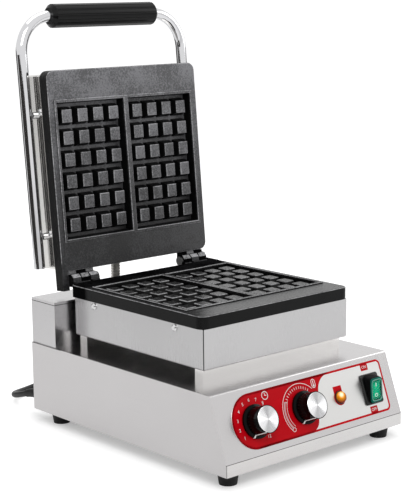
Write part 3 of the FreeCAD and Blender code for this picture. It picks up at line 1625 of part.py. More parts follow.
def build_coil():
    """The put-away length as one unbroken tube, its ends straight for a cord's width."""
    spots = coil_spots()
    width = SIZES["cord_diameter"]
    first, first_way = spots[0]
    last, last_way = spots[-1]
    edges = [Part.makeLine(first - first_way * width, first)]
    for (start, way_in), (end, way_out) in zip(spots, spots[1:]):
        edges.extend(biarc(start, way_in, end, way_out))
    edges.append(Part.makeLine(last, last + last_way * width))
    wire = Part.Wire(edges)
    ring = Part.Wire(Part.makeCircle(width / 2, first - first_way * width, first_way))
    tube = wire.makePipeShell([ring], True, False)
    ideal = math.pi * (width / 2) ** 2 * wire.Length
    print(f"cord_coil: length {wire.Length:.1f}, volume ratio {tube.Volume / ideal:.4f},",
          f"least gap to itself {least_gap(wire, width):.2f}")
    coil = doc.addObject("Part::Feature", "cord_coil")
    coil.Shape = tube
    node("cord_coil", coil)
    return first - first_way * width, last + last_way * width


def least_gap(wire, width):
    """Least clear distance between turns, from points along the coil's line."""
    step = width / 2
    points = wire.discretize(Distance=step)
    apart = int(6 * width / step)
    least = min(
        (points[first] - points[second]).Length
        for first in range(len(points))
        for second in range(first + apart, len(points))
    )
    return least - width


def build_tie():
    """A strap round all the turns at one side of the coil."""
    width = SIZES["cord_diameter"]
    pitch = SIZES["coil_pitch"]
    gap = SIZES["fit_gap"]
    thick = SIZES["tie_thickness"]
    inner = SIZES["coil_outer_radius"] - pitch * (SPIRAL_QUARTERS + 1) / 4 - width / 2 - gap
    outer = SIZES["coil_outer_radius"] + width / 2 + gap
    low = thick
    high = thick + gap + width + pitch + gap
    strap = new_body("cord_tie")
    sketch = new_sketch(strap, "XZ_Plane", -SIZES["coil_y"])
    x = SIZES["coil_x"]
    draw_box(sketch, (x + inner - thick, low - thick), (x + outer + thick, high + thick))
    draw_box(sketch, (x + inner, low), (x + outer, high))
    add_pad(strap, sketch, size.tie_width, middle=True)
    node("cord_tie", strap)


def build_plug(entry):
    """A round two-pin plug lying on its side, its neck towards the lead."""
    radius = size.plug_diameter / 2
    neck = size.plug_neck_diameter / 2
    long = size.plug_length
    plug = new_body("plug_body")
    add_revolution(plug, [
        (0, 0), (neck * 0.8, 0), (neck, long * 0.3), (radius * 0.72, long * 0.45),
        (radius * 0.9, long * 0.6), (radius, long * 0.62), (radius, long * 0.97),
        (radius * 0.95, long), (0, long),
    ])
    flat = new_sketch(plug, "YZ_Plane")
    for side in (-1, 1):
        low = (side * radius * 0.88, long * 0.66)
        high = (side * (radius + size.sheet), long * 1.1)
        draw_box(flat, low, high)
    add_pocket(plug, flat, size.plug_neck_diameter / 2, middle=True)
    place(plug, (entry.x, entry.y, entry.z), (0, 1, 0), 90)
    node("plug_body", plug)
    pins = []
    for side in (-1, 1):
        pin = new_body("plug_pin_left" if side < 0 else "plug_pin_right")
        reach = size.plug_pin_diameter / 2
        length = size.plug_pin_length
        add_revolution(pin, [
            (0, 0), (reach, 0), (reach, length - reach), (reach * 0.6, length), (0, length),
        ])
        place(pin, (side * size.plug_pin_spacing / 2, 0, long))
        pins.append(pin)
    group = group_of("plug_pins", pins)
    place(group, (entry.x, entry.y, entry.z), (0, 1, 0), 90)


def build_lead():
    exit_spot, exit_way = build_gland()
    coil_start, coil_end = build_coil()
    lead_tube("cord_run", [
        exit_spot,
        exit_spot + exit_way * 24.2,
        FreeCAD.Vector(-102.5, 223, 8.8),
        FreeCAD.Vector(-78, 236.5, 5.6),
        FreeCAD.Vector(-51, 246.5, 4.8),
        FreeCAD.Vector(-24, 252.6, 4.7),
        FreeCAD.Vector(-4, 255, 4.7),
        coil_start,
    ])
    plug_entry = FreeCAD.Vector(91, 249.4, SIZES["plug_diameter"] / 2)
    lead_tube("cord_tail", [
        coil_end,
        FreeCAD.Vector(40, 255, 12.1),
        FreeCAD.Vector(57, 252.8, 14.6),
        FreeCAD.Vector(74, 249.4, SIZES["plug_diameter"] / 2),
        plug_entry,
    ])
    build_tie()
    build_plug(plug_entry)


def build_lid_fixings():
    """The nut that holds the conduit in the lid's cover."""
    bore = size.conduit_diameter + 4 * size.conduit_groove
    nut = hex_nut("conduit_nut_upper", size.conduit_nut_width, size.conduit_nut_height, bore)
    end = -size.hinge_offset - size.cover_rear_inset
    base = (size.conduit_x, end, size.conduit_behind_axis)
    open_cos, open_sin = cosine(size.lid_open_angle), sine(size.lid_open_angle)
    y = hinge_y + base[1] * open_cos + base[2] * open_sin
    z = mate_z - base[1] * open_sin + base[2] * open_cos
    place(nut, (base[0], y, z), (1, 0, 0), -size.lid_open_angle - 90)
    node("conduit_nut_upper", nut)


def check_document():
    """Stops on any object that failed, or any piece with an empty or unsound shape."""
    doc.recompute()
    failed = [item.Name for item in doc.Objects if {"Invalid", "Error"} & set(item.State)]
    if failed:
        raise RuntimeError(f"failed objects: {failed}")
    for label, item in nodes.items():
        if item.Shape.isNull() or not item.Shape.isValid() or not item.Shape.Solids:
            raise RuntimeError(f"{label} has no sound shape")


def write_parts():
    os.makedirs("parts", exist_ok=True)
    for label, item in nodes.items():
        item.Shape.exportStep(os.path.join("parts", label + ".step"))


build_base_shell()
build_base_pan()
build_feet()
build_neck()
build_plate("lower_plate", on_lower)
build_plate("upper_plate", on_upper)
build_tray(
    "lower_housing", on_lower, size.housing_depth,
    size.housing_front_inset, size.housing_rear_inset, housing_openings(),
)
build_tray(
    "upper_cover", on_upper, size.cover_depth,
    size.cover_front_inset, size.cover_rear_inset, cover_openings(),
)
build_tray_screws("housing_screws", upper=False)
build_tray_screws("cover_screws", upper=True)
build_heating("lower", on_lower, size.housing_depth)
build_heating("upper", on_upper, size.cover_depth)
build_bulb()
build_hinge_pins()
build_handle()
build_rear_box()
build_conduit()
build_lid_fixings()
build_overlay()
build_rotary("timer", size.timer_x, size.timer_width, size.timer_depth)
build_rotary("thermostat", size.thermostat_x, size.thermostat_width, size.thermostat_depth)
build_bushing_nuts()
build_lamp()
build_switch()
build_terminal_block()
build_lead()
check_document()
write_parts()
print(f"{len(nodes)} pieces written")
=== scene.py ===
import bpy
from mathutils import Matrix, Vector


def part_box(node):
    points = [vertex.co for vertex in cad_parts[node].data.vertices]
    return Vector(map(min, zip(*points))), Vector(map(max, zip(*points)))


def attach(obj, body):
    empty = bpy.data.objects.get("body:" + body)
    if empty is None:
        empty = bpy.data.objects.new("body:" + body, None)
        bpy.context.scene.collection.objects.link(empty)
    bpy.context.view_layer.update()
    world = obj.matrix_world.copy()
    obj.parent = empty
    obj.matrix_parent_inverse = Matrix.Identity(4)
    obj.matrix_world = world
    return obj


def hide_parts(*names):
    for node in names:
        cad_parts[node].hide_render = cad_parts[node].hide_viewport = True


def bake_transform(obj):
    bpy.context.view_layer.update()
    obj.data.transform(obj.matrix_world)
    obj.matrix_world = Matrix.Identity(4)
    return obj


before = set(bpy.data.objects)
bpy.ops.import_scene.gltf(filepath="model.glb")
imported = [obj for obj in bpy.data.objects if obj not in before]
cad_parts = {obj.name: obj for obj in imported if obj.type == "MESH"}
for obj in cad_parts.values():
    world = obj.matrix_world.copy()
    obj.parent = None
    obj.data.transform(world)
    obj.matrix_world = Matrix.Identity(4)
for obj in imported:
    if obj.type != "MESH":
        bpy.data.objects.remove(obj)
"""Looks of a two-waffle table iron: finishes, printed panel, mains lead, floor, light and camera.

Everything is in metres in the part's own frame: +Z up, +X to the right of someone who faces
the control panel, +Y to the back, origin on the table under the middle of the machine.
"""
import logging
import math
from contextlib import contextmanager
from dataclasses import dataclass, field
from enum import Enum
from itertools import product
from typing import Callable, Iterable, Iterator, Sequence

import bpy
from mathutils import Matrix, Vector

Point = tuple[float, float, float]
Spot = tuple[float, float]
Colour = tuple[float, float, float]
Box = tuple[Point, Point]
Piece = bpy.types.Object
Material = bpy.types.Material
Socket = bpy.types.NodeSocket
Operand = Socket | Point | float

LOG = logging.getLogger("waffle_iron")
MM = 0.001
METRES_TO_MM = Matrix.Scale(1 / MM, 4)
SAME_PLACE = 1e-3
WHITE_LIGHT = (1.0, 1.0, 1.0, 1.0)
SMOOTH_ANGLE = math.radians(35.0)


class Body(Enum):
    """The part's moving bodies."""

    BASE = "base"
    LID = "lid"
    TIMER = "timer_control"
    THERMOSTAT = "thermostat_control"
    ROCKER = "rocker"


class Slot(Enum):
    """Names of material slots for new pieces; nothing in this script uses them."""

    FILM = "panel_film"
    KNOB = "black_plastic"
    CONDUIT = "conduit_metal"
    LEAD = "cord_jacket"
    ROCKER = "green_rocker"
    BOOT = "clear_boot"


class Start(Enum):
    """The primitives that a piece starts from."""

    PLANE = "plane"
    BLOCK = "block"


@dataclass(frozen=True)
class IronSizes:
    """Sizes in millimetres that the part's own solids are drawn from."""

    front: float = -170.8
    foot_height: float = 13.0
    base_height: float = 76.0
    lip_height: float = 12.6
    panel_setback: float = 24.0
    hinge_y: float = 113.0
    mate_z: float = 158.5
    lid_angle: float = 95.0
    control_level: float = 33.0
    timer_x: float = -77.0
    thermostat_x: float = -9.5
    lamp_x: float = 42.4
    switch_x: float = 89.4
    film_top: float = 0.4

    def panel(self, across: float = 0.0, up: float = 0.0, out: float = 0.0) -> Matrix:
        """Places panel millimetres in the part's frame.

        Args:
            across: Distance to the right along the panel.
            up: Distance up the panel's slope from the lip.
            out: Distance out from the panel's face.

        Returns:
            A matrix that takes local millimetres to metres in the part's frame.
        """
        slope = math.atan2(self.base_height - self.lip_height, self.panel_setback)
        turn = Matrix.Rotation(slope, 4, "X")
        foot = Matrix.Translation((0.0, self.front, self.foot_height + self.lip_height))
        local = Matrix.Translation((across, up, out))
        return Matrix.Scale(MM, 4) @ foot @ turn @ local

    def control(self, across: float) -> Matrix:
        """Returns the place of a control on the panel, for local millimetres."""
        return self.panel(across, self.control_level)

    def lower_plate(self) -> Matrix:
        """Returns the lower plate's own frame in metres: its mating face at local Z zero."""
        return Matrix.Translation((0.0, self.hinge_y * MM, self.mate_z * MM))

    def lid_plate(self) -> Matrix:
        """Returns the upper plate's own frame in metres, alike but turned over and open."""
        turn = Matrix.Rotation(math.radians(-self.lid_angle), 4, "X")
        return self.lower_plate() @ turn @ Matrix.Rotation(math.pi, 4, "Y")


def shade(colour: Colour, share: float) -> Colour:
    """Returns a colour at a share of its brightness."""
    return tuple(share * part for part in colour)


def upward(local: Matrix) -> Vector:
    """Returns the direction of a local frame's Z axis."""
    return local.to_3x3() @ Vector((0.0, 0.0, 1.0))


class NodeSheet:
    """A node tree, with short calls for the nodes that finishes, floor and surround share."""

    def __init__(self, tree: bpy.types.NodeTree) -> None:
        """Takes the tree to draw on."""
        self.tree = tree

    def feed(self, put: Socket, operand: Operand) -> None:
        """Links an input to another node's socket, or sets it to a constant.

        Args:
            put: The input.
            operand: The socket or the constant.
        """
        if isinstance(operand, Socket):
            self.tree.links.new(operand, put)
        else:
            put.default_value = operand

    def feed_named(self, made: bpy.types.Node, **operands: Operand) -> None:
        """Feeds a node's inputs by their names, with underscores for spaces."""
        for name, operand in operands.items():
            self.feed(made.inputs[name.replace("_", " ")], operand)

    def node(self, kind: str, *operands: Operand, **settings: object) -> bpy.types.Node:
        """Adds a node.

        Args:
            kind: The node's type name.
            operands: Sockets or constants for its inputs, in order.
            settings: Its properties by name.

        Returns:
            The new node.
        """
        made = self.tree.nodes.new(kind)
        for name, value in settings.items():
            setattr(made, name, value)
        for put, operand in zip(made.inputs, operands):
            self.feed(put, operand)
        return made

    def coordinates(
        self, scale: float | Point = 1.0, local: Matrix | None = None, skin: str = ""
    ) -> Socket:
        """Object coordinates, or those that a piece keeps on its own skin, seen from a local frame.

        Args:
            scale: How often a pattern repeats per metre, alike or along each local axis.
            local: The local frame, or None for the part's own.
            skin: The piece's own attribute to read, where the pattern follows a skin that bends.

        Returns:
            The vector socket.
        """
        if skin:
            source = self.node("ShaderNodeAttribute", attribute_name=skin).outputs["Vector"]
        else:
            source = self.node("ShaderNodeTexCoord").outputs["Object"]
        if local is not None:
            seat = (local.to_translation(), local.to_euler("XYZ"))
            moved = self.node("ShaderNodeMapping", source, *seat, vector_type="TEXTURE")
            source = moved.outputs["Vector"]
        stretch = self.node("ShaderNodeMapping", source, vector_type="POINT")
        self.feed_named(stretch, Scale=(scale,) * 3 if isinstance(scale, float) else scale)
        return stretch.outputs["Vector"]

    def noise(
        self, scale: float | Point, detail: float = 3.0, rough: float = 0.55, skin: str = ""
    ) -> Socket:
        """Adds a noise pattern.

        Args:
            scale: How often it repeats per metre, alike or along each axis.
            detail: Octaves.
            rough: Share that each finer octave keeps.
            skin: The piece's own attribute that carries the pattern, if any.

        Returns:
            The pattern's value socket.
        """
        made = self.node("ShaderNodeTexNoise", self.coordinates(scale, skin=skin))
        self.feed_named(made, Scale=1.0, Detail=detail, Roughness=rough)
        return made.outputs["Fac"]

    def spread(
        self, value: Socket, low: float, high: float, start: float = 0.25, end: float = 0.75
    ) -> Socket:
        """Stretches a pattern's range from start to end into one from low to high, clamped."""
        return self.node("ShaderNodeMapRange", value, start, end, low, high).outputs["Result"]

    def math(self, operation: str, *operands: Operand) -> Socket:
        """Adds a math node and returns its result."""
        return self.node("ShaderNodeMath", *operands, operation=operation).outputs["Value"]

    def vector(self, operation: str, *operands: Operand) -> Socket:
        """Adds a vector math node and returns its result, a number or a vector."""
        made = self.node("ShaderNodeVectorMath", *operands, operation=operation)
        return made.outputs["Value" if operation in ("LENGTH", "DOT_PRODUCT") else "Vector"]

    def axes(self, vector: Socket) -> tuple[Socket, ...]:
        """Splits a vector into its three parts."""
        return tuple(self.node("ShaderNodeSeparateXYZ", vector).outputs)

    def wave(self, value: Socket, rate: float) -> Socket:
        """Returns the sine of a multiple of a value."""
        return self.math("SINE", self.math("MULTIPLY", value, rate))

    def above(self, value: Socket, level: float, soft: float) -> Socket:
        """Is zero below a level and one above it, with a soft step, both in millimetres."""
        return self.spread(value, 0.0, 1.0, (level - soft) * MM, (level + soft) * MM)

    def off_middle(self, value: Socket, half: float) -> Socket:
        """Returns the distance from a middle line as a share of a half width in millimetres."""
        return self.math("MULTIPLY", self.math("ABSOLUTE", value), 1 / (half * MM))

    def over(self, share: Socket, lower: Socket | Colour, upper: Socket | Colour) -> Socket:
        """Lays one colour over another.

        Args:
            share: Zero gives lower, one gives upper.
            lower: Lower colour, a socket or a linear colour.
            upper: Upper colour, a socket or a linear colour.

        Returns:
            The mixed colour socket.
        """
        made = self.node("ShaderNodeMix", share, data_type="RGBA")
        puts = [put for put in made.inputs if put.type == "RGBA"]
        for put, colour in zip(puts, (lower, upper)):
            self.feed(put, colour if isinstance(colour, Socket) else (*colour, 1.0))
        return [out for out in made.outputs if out.type == "RGBA"][0]

    def outside(self, box: Box) -> Socket:
        """Distance to a box in the part's frame.

        Args:
            box: The box's lower and upper corners.

        Returns:
            A socket that is the distance in metres, and zero inside the box.
        """
        middle = [(first + last) / 2 for first, last in zip(*box)]
        half = [(last - first) / 2 for first, last in zip(*box)]
        away = self.vector("ABSOLUTE", self.vector("SUBTRACT", self.coordinates(), middle))
        past = self.vector("MAXIMUM", self.vector("SUBTRACT", away, half), (0.0, 0.0, 0.0))
        return self.vector("LENGTH", past)

    def seen(self, mirrored: float = 1.0) -> Socket:
        """Picks out the rays that show a white surface: straight, mirrored or through the boot.

        Args:
            mirrored: What a mirrored ray counts.

        Returns:
            The share socket.
        """
        path = self.node("ShaderNodeLightPath").outputs
        glossy = self.math("MULTIPLY", path["Is Glossy Ray"], mirrored)
        shown = self.math("MAXIMUM", path["Is Camera Ray"], glossy)
        return self.math("MAXIMUM", shown, path["Is Transmission Ray"])


class ShaderSheet(NodeSheet):
    """A material's node tree with one principled shader."""

    def __init__(self, name: str) -> None:
        """Starts an empty material.

        Args:
            name: The material's name.
        """
        self.material: Material = bpy.data.materials.new(name)
        self.material.use_nodes = True
        super().__init__(self.material.node_tree)
        self.tree.nodes.clear()
        self.shader = self.node("ShaderNodeBsdfPrincipled")
        self.node("ShaderNodeOutputMaterial", self.shader.outputs["BSDF"])

    def fix(self, **operands: Operand) -> None:
        """Feeds the shader's own inputs by their names, with underscores for spaces."""
        self.feed_named(self.shader, **operands)

    def bump(self, height: Socket, strength: float, distance: float) -> None:
        """Roughens the surface's normal by a pattern.

        Args:
            height: The pattern.
            strength: Share of the bump that shows.
            distance: Height of the pattern's full range, in metres.
        """
        made = self.node("ShaderNodeBump")
        self.feed_named(made, Strength=strength, Distance=distance, Height=height)
        self.fix(Normal=made.outputs["Normal"])


@dataclass(frozen=True)
class BrushedSheet:
    """Stainless sheet with a fine grain along one axis, faint wiped patches and dark seams."""

    name: str
    colour: Colour
    dull: Colour
    roughness: float = 0.2
    spread: float = 0.04
    grain: Point = (1400.0, 12.0, 1400.0)
    depth: float = 0.000004
    seams: tuple[Box, ...] = ()
    seam_soft: float = 0.0002
    seam_colour: Colour = (0.03, 0.03, 0.03)

    def make(self) -> Material:
        """Returns the finished material, with a dark line in each seam's box."""
        sheet = ShaderSheet(self.name)
        grain = sheet.noise(self.grain, 4.0, 0.65)
        wiped = sheet.noise(9.0)
        rough = sheet.spread(grain, self.roughness - self.spread, self.roughness + self.spread)
        tone = sheet.math("ADD", sheet.spread(grain, 0.0, 0.5), sheet.spread(wiped, 0.0, 0.5))
        colour = sheet.over(tone, self.colour, self.dull)
        for box in self.seams:
            line = sheet.spread(sheet.outside(box), 1.0, 0.0, 0.0, self.seam_soft)
            colour = sheet.over(line, colour, self.seam_colour)
        sheet.fix(
            Base_Color=colour,
            Metallic=1.0,
            Roughness=sheet.math("ADD", rough, sheet.spread(wiped, -0.02, 0.03)),
        )
        sheet.bump(grain, 0.1, self.depth)
        return sheet.material


@dataclass(frozen=True)
class CastPlate:
    """Dark seasoned casting, grainy, with painted light: rough walls shaded, flats lit, sheen on
    pegs and far end, edge highlights.
    """

    name: str
    local: Matrix
    peg_top: Colour
    edge: Colour
    wall: Colour = (0.0022, 0.0022, 0.0023)
    face: Colour = (0.022, 0.022, 0.0235)
    far_gain: Spot = (1.0, 1.0)
    roughness: Spot = (0.3, 0.5)
    gloss: Spot = (0.12, 0.5)
    relief: float = 0.6
    pit_depth: float = 0.0005
    hinge_gloss: float = 1.0
    hinge_strip: Spot = (-0.037, -0.043)
    fade: Spot = (-0.06, -0.25)
    peg_level: float = -0.002
    peg_band: float = 0.00012
    flat_lean: Spot = (0.8, 0.96)
    edge_starts: Spot = (0.45, 0.62)
    edge_ends: Spot = (0.86, 0.97)

    def make(self) -> Material:
        """Returns the finished material."""
        sheet = ShaderSheet(self.name)
        _, depth, height = sheet.axes(sheet.coordinates(local=self.local))
        normal = sheet.node("ShaderNodeTexCoord").outputs["Normal"]
        # Painted light by facing: faces along the plate's normal take the lit flat colour, side
        # walls the painted-shade wall colour.
        lean = sheet.vector("DOT_PRODUCT", normal, upward(self.local))
        flat = sheet.spread(lean, 0.0, 1.0, *self.flat_lean)
        # Painted highlight: faces that lean part way, such as chamfers and rounded edges, take the
        # bright edge colour.
        rising = sheet.spread(lean, 0.0, 1.0, *self.edge_starts)
        edge_glint = sheet.math("MULTIPLY", rising, sheet.spread(lean, 1.0, 0.0, *self.edge_ends))
        grit = sheet.noise(1300.0, 4.0, 0.7)
        pits = sheet.noise(520.0, 3.0, 0.7)
        cloud = sheet.noise(24.0, 5.0)
        fine, broad = sheet.math("MULTIPLY", pits, 0.6), sheet.math("MULTIPLY", cloud, 0.4)
        speck = sheet.spread(sheet.math("ADD", fine, broad), 0.0, 1.0, 0.44, 0.56)
        # Painted sheen: flats and peg tops grow paler towards the plate's far end.
        far = sheet.spread(depth, 0.0, 1.0, *self.fade)
        # Peg tops take a paler colour: partly their smoother machined face, partly painted sheen.
        peg = sheet.math("COMPARE", height, self.peg_level, self.peg_band)
        tone = self.speckled(sheet, speck, self.wall, 1.0, 1.8)
        tone = sheet.over(flat, tone, self.faded(sheet, far, speck, self.face, self.far_gain[0]))
        tone = sheet.over(peg, tone, self.faded(sheet, far, speck, self.peg_top, self.far_gain[1]))
        tone = sheet.over(edge_glint, tone, self.speckled(sheet, speck, self.edge, 0.5, 1.4))
        shine = sheet.spread(flat, *self.gloss, 0.0, 1.0)
        strip = sheet.spread(depth, self.hinge_gloss, 1.0, *self.hinge_strip)
        sheet.fix(
            Base_Color=tone,
            Roughness=sheet.spread(grit, *self.roughness),
            Specular_IOR_Level=sheet.math("MULTIPLY", shine, strip),
        )
        sheet.bump(sheet.math("ADD", grit, pits), self.relief, self.pit_depth)
        return sheet.material

    @staticmethod
    def speckled(
        sheet: ShaderSheet, speck: Socket, colour: Colour, low: float, high: float
    ) -> Socket:
        """Varies one colour from a low to a high share of it by a pattern."""
        return sheet.over(speck, shade(colour, low), shade(colour, high))

    def faded(
        self, sheet: ShaderSheet, far: Socket, speck: Socket, colour: Colour, gain: float
    ) -> Socket:
        """Makes a grainy colour paler towards the far end, as painted sheen."""
        near = self.speckled(sheet, speck, colour, 0.3, 1.7)
        return sheet.over(far, near, self.speckled(sheet, speck, shade(colour, gain), 0.55, 1.45))


@dataclass(frozen=True)
class PolishedTube:
    """Bright polished steel with faint drawn lines."""

    name: str
    colour: Colour
    roughness: float = 0.07

    def make(self) -> Material:
        """Returns the finished material."""
        sheet = ShaderSheet(self.name)
        lines = sheet.noise((900.0, 900.0, 25.0))
        smear = sheet.noise(30.0, 2.0)
        sheet.fix(
            Base_Color=sheet.over(smear, self.colour, shade(self.colour, 0.9)),
            Metallic=1.0,
            Roughness=sheet.math("MULTIPLY", sheet.spread(lines, 0.6, 1.5), self.roughness),
        )
        sheet.bump(lines, 0.05, 0.00002)
        return sheet.material


@dataclass(frozen=True)
class Moulding:
    """Moulded plastic or rubber with a fine skin texture and slight handling marks."""

    name: str
    colour: Colour
    roughness: float = 0.35
    grain: float = 1800.0
    depth: float = 0.00004
    gloss: float = 0.5

    def make(self) -> Material:
        """Returns the finished material."""
        sheet = ShaderSheet(self.name)
        skin = sheet.noise(self.grain, 2.0)
        marks = sheet.noise(45.0)
        rough = sheet.math("ADD", sheet.spread(skin, -0.03, 0.03), sheet.spread(marks, -0.03, 0.05))
        handled = sheet.spread(marks, 0.0, 1.0)
        sheet.fix(
            Base_Color=sheet.over(handled, self.colour, shade(self.colour, 0.82)),
            Roughness=sheet.math("ADD", rough, self.roughness),
            Specular_IOR_Level=self.gloss,
        )
        sheet.bump(skin, 0.25, self.depth)
        return sheet.material


@dataclass(frozen=True)
class SpunFace:
    """Turned aluminium: fine rings about the knob's axis spread light along them, and two fans of
    painted highlight lie in its colour.
    """

    name: str
    local: Matrix
    colour: Colour = (0.97, 0.97, 0.98)
    dull: Colour = (0.5, 0.5, 0.51)
    roughness: Spot = (0.19, 0.29)
    rings: float = 5200.0
    fan_turn: float = 0.9

    def make(self) -> Material:
        """Returns the finished material."""
        sheet = ShaderSheet(self.name)
        place = sheet.coordinates((1.0, 1.0, 0.0), self.local)
        groove = sheet.wave(sheet.vector("LENGTH", place), self.rings)
        across, up, _ = sheet.axes(place)
        # Painted highlight: colour goes from dull to bright in two fans by the angle round the
        # axis.
        angle = sheet.math("ADD", sheet.math("ARCTAN2", up, across), self.fan_turn)
        light = sheet.wave(angle, 2.0)
        for part, share in ((sheet.wave(angle, 7.0), 0.25), (groove, 0.15)):
            light = sheet.math("ADD", light, sheet.math("MULTIPLY", part, share))
        sheet.fix(
            Base_Color=sheet.over(sheet.spread(light, 0.0, 1.0, -1.0, 1.0), self.dull, self.colour),
            Metallic=1.0,
            Anisotropic=0.85,
            Roughness=sheet.spread(groove, *self.roughness, -1.0, 1.0),
            Tangent=self.round_way(sheet),
        )
        return sheet.material

    def round_way(self, sheet: ShaderSheet) -> Socket:
        """Returns the direction of the turning marks, round the knob's axis."""
        spoke = sheet.vector("SUBTRACT", sheet.coordinates(), self.local.to_translation())
        return sheet.vector("NORMALIZE", sheet.vector("CROSS_PRODUCT", upward(self.local), spoke))


@dataclass(frozen=True)
class BootMoulding:
    """Soft boot: black skirt, dark green edge (painted shade) with a pale line (painted highlight),
    clear window; they bend with its skin.
    """

    name: str
    local: Matrix
    skin: str
    skirt: Colour = (0.004, 0.004, 0.0045)
    edge: Colour = (0.002, 0.10, 0.07)
    line: Colour = (0.16, 0.46, 0.38)
    window: Colour = (0.85, 0.98, 0.92)
    level: float = 8.1
    face: Spot = (8.6, 12.5)
    rim: float = 0.86
    rim_soft: float = 0.02
    bead: float = 0.03
    squareness: float = 5.0

    def make(self) -> Material:
        """Returns the finished material."""
        sheet = ShaderSheet(self.name)
        across, up, out = sheet.axes(sheet.coordinates(1.0, self.local, self.skin))
        flow = sheet.noise(160.0, 2.0, skin=self.skin)
        above = sheet.above(out, self.level, 0.1)
        wide, tall = (
            sheet.math("POWER", sheet.off_middle(value, half), self.squareness)
            for value, half in zip((across, up), self.face)
        )
        reach = sheet.math("POWER", sheet.math("ADD", wide, tall), 1 / self.squareness)
        inside = sheet.spread(reach, 1.0, 0.0, self.rim - self.rim_soft, self.rim + self.rim_soft)
        clear = sheet.math("MULTIPLY", above, inside)
        # Painted highlight: a pale line just outside the window's rim, on a dark green band of
        # painted shade.
        bead = sheet.math("ABSOLUTE", sheet.math("SUBTRACT", reach, self.rim + self.bead))
        edge = sheet.over(sheet.spread(bead, 1.0, 0.0, 0.01, 0.04), self.edge, self.line)
        sheet.fix(
            Base_Color=sheet.over(clear, sheet.over(above, self.skirt, edge), self.window),
            Transmission_Weight=clear,
            Roughness=sheet.spread(flow, 0.05, 0.1),
            IOR=1.1,
        )
        sheet.bump(flow, 0.04, 0.0001)
        return sheet.material


@dataclass(frozen=True)
class LampLens:
    """Amber lens lit by a bulb behind one side: hot spot partly glow, partly painted highlight; rim
    darker by painted shade.
    """

    name: str
    local: Matrix
    hot: Colour = (1.0, 0.84, 0.56)
    amber: Colour = (0.78, 0.28, 0.008)
    deep: Colour = (0.22, 0.025, 0.006)
    bulb: Point = (-0.0016, 0.0026, 0.0045)

    def make(self) -> Material:
        """Returns the finished material."""
        sheet = ShaderSheet(self.name)
        place = sheet.coordinates(local=self.local @ Matrix.Translation(self.bulb))
        flow = sheet.noise(400.0, 2.0)
        ripple = sheet.spread(flow, -0.0005, 0.0005)
        reach = sheet.math("ADD", sheet.vector("LENGTH", place), ripple)
        # Hot spot by the bulb is its glow plus painted highlight; the deep colour further out is
        # painted shade.
        tone = sheet.over(sheet.spread(reach, 0.0, 1.0, 0.001, 0.0034), self.hot, self.amber)
        tone = sheet.over(sheet.spread(reach, 0.0, 1.0, 0.004, 0.0075), tone, self.deep)
        sheet.fix(
            Base_Color=tone,
            Emission_Color=tone,
            Emission_Strength=sheet.spread(reach, 0.6, 0.06, 0.001, 0.005),
            Roughness=0.12,
            Specular_IOR_Level=0.12,
        )
        sheet.bump(flow, 0.05, 0.0001)
        return sheet.material


@dataclass(frozen=True)
class RockerGlow:
    """Green rocker lit from within: bright in the middle of its face, its rim darker by painted
    shade, black down its sides.
    """

    name: str
    local: Matrix
    bright: Colour = (0.002, 0.36, 0.20)
    deep: Colour = (0.001, 0.13, 0.08)
    side: Colour = (0.003, 0.004, 0.004)
    face: Spot = (6.6, 10.2)
    head: float = 6.6
    glow: float = 0.2

    def make(self) -> Material:
        """Returns the finished material."""
        sheet = ShaderSheet(self.name)
        across, up, out = sheet.axes(sheet.coordinates(local=self.local))
        wide, tall = (sheet.off_middle(value, half) for value, half in zip((across, up), self.face))
        # Painted shade: the face's rim takes the deeper green.
        lit = sheet.spread(sheet.math("MAXIMUM", wide, tall), 1.0, 0.0, 0.55, 1.0)
        lit = sheet.math("MULTIPLY", lit, sheet.spread(sheet.noise(300.0), 0.75, 1.0))
        head = sheet.above(out, self.head, 0.2)
        tone = sheet.over(head, self.side, sheet.over(lit, self.deep, self.bright))
        sheet.fix(
            Base_Color=tone,
            Emission_Color=tone,
            Emission_Strength=sheet.math("MULTIPLY", sheet.math("MULTIPLY", head, lit), self.glow),
            Roughness=0.2,
            Specular_IOR_Level=0.08,
        )
        return sheet.material


@dataclass(frozen=True)
class Fibre:
    """Loose mineral fibre."""

    name: str
    colour: Colour = (0.55, 0.50, 0.36)

    def make(self) -> Material:
        """Returns the finished material."""
        sheet = ShaderSheet(self.name)
        strands = sheet.noise((90.0, 700.0, 500.0), 5.0, 0.7)
        pale = sheet.spread(strands, 0.0, 1.0)
        sheet.fix(
            Base_Color=sheet.over(pale, shade(self.colour, 0.6), self.colour),
            Roughness=sheet.spread(strands, 0.8, 0.95),
        )
        sheet.bump(strands, 0.8, 0.0006)
        return sheet.material


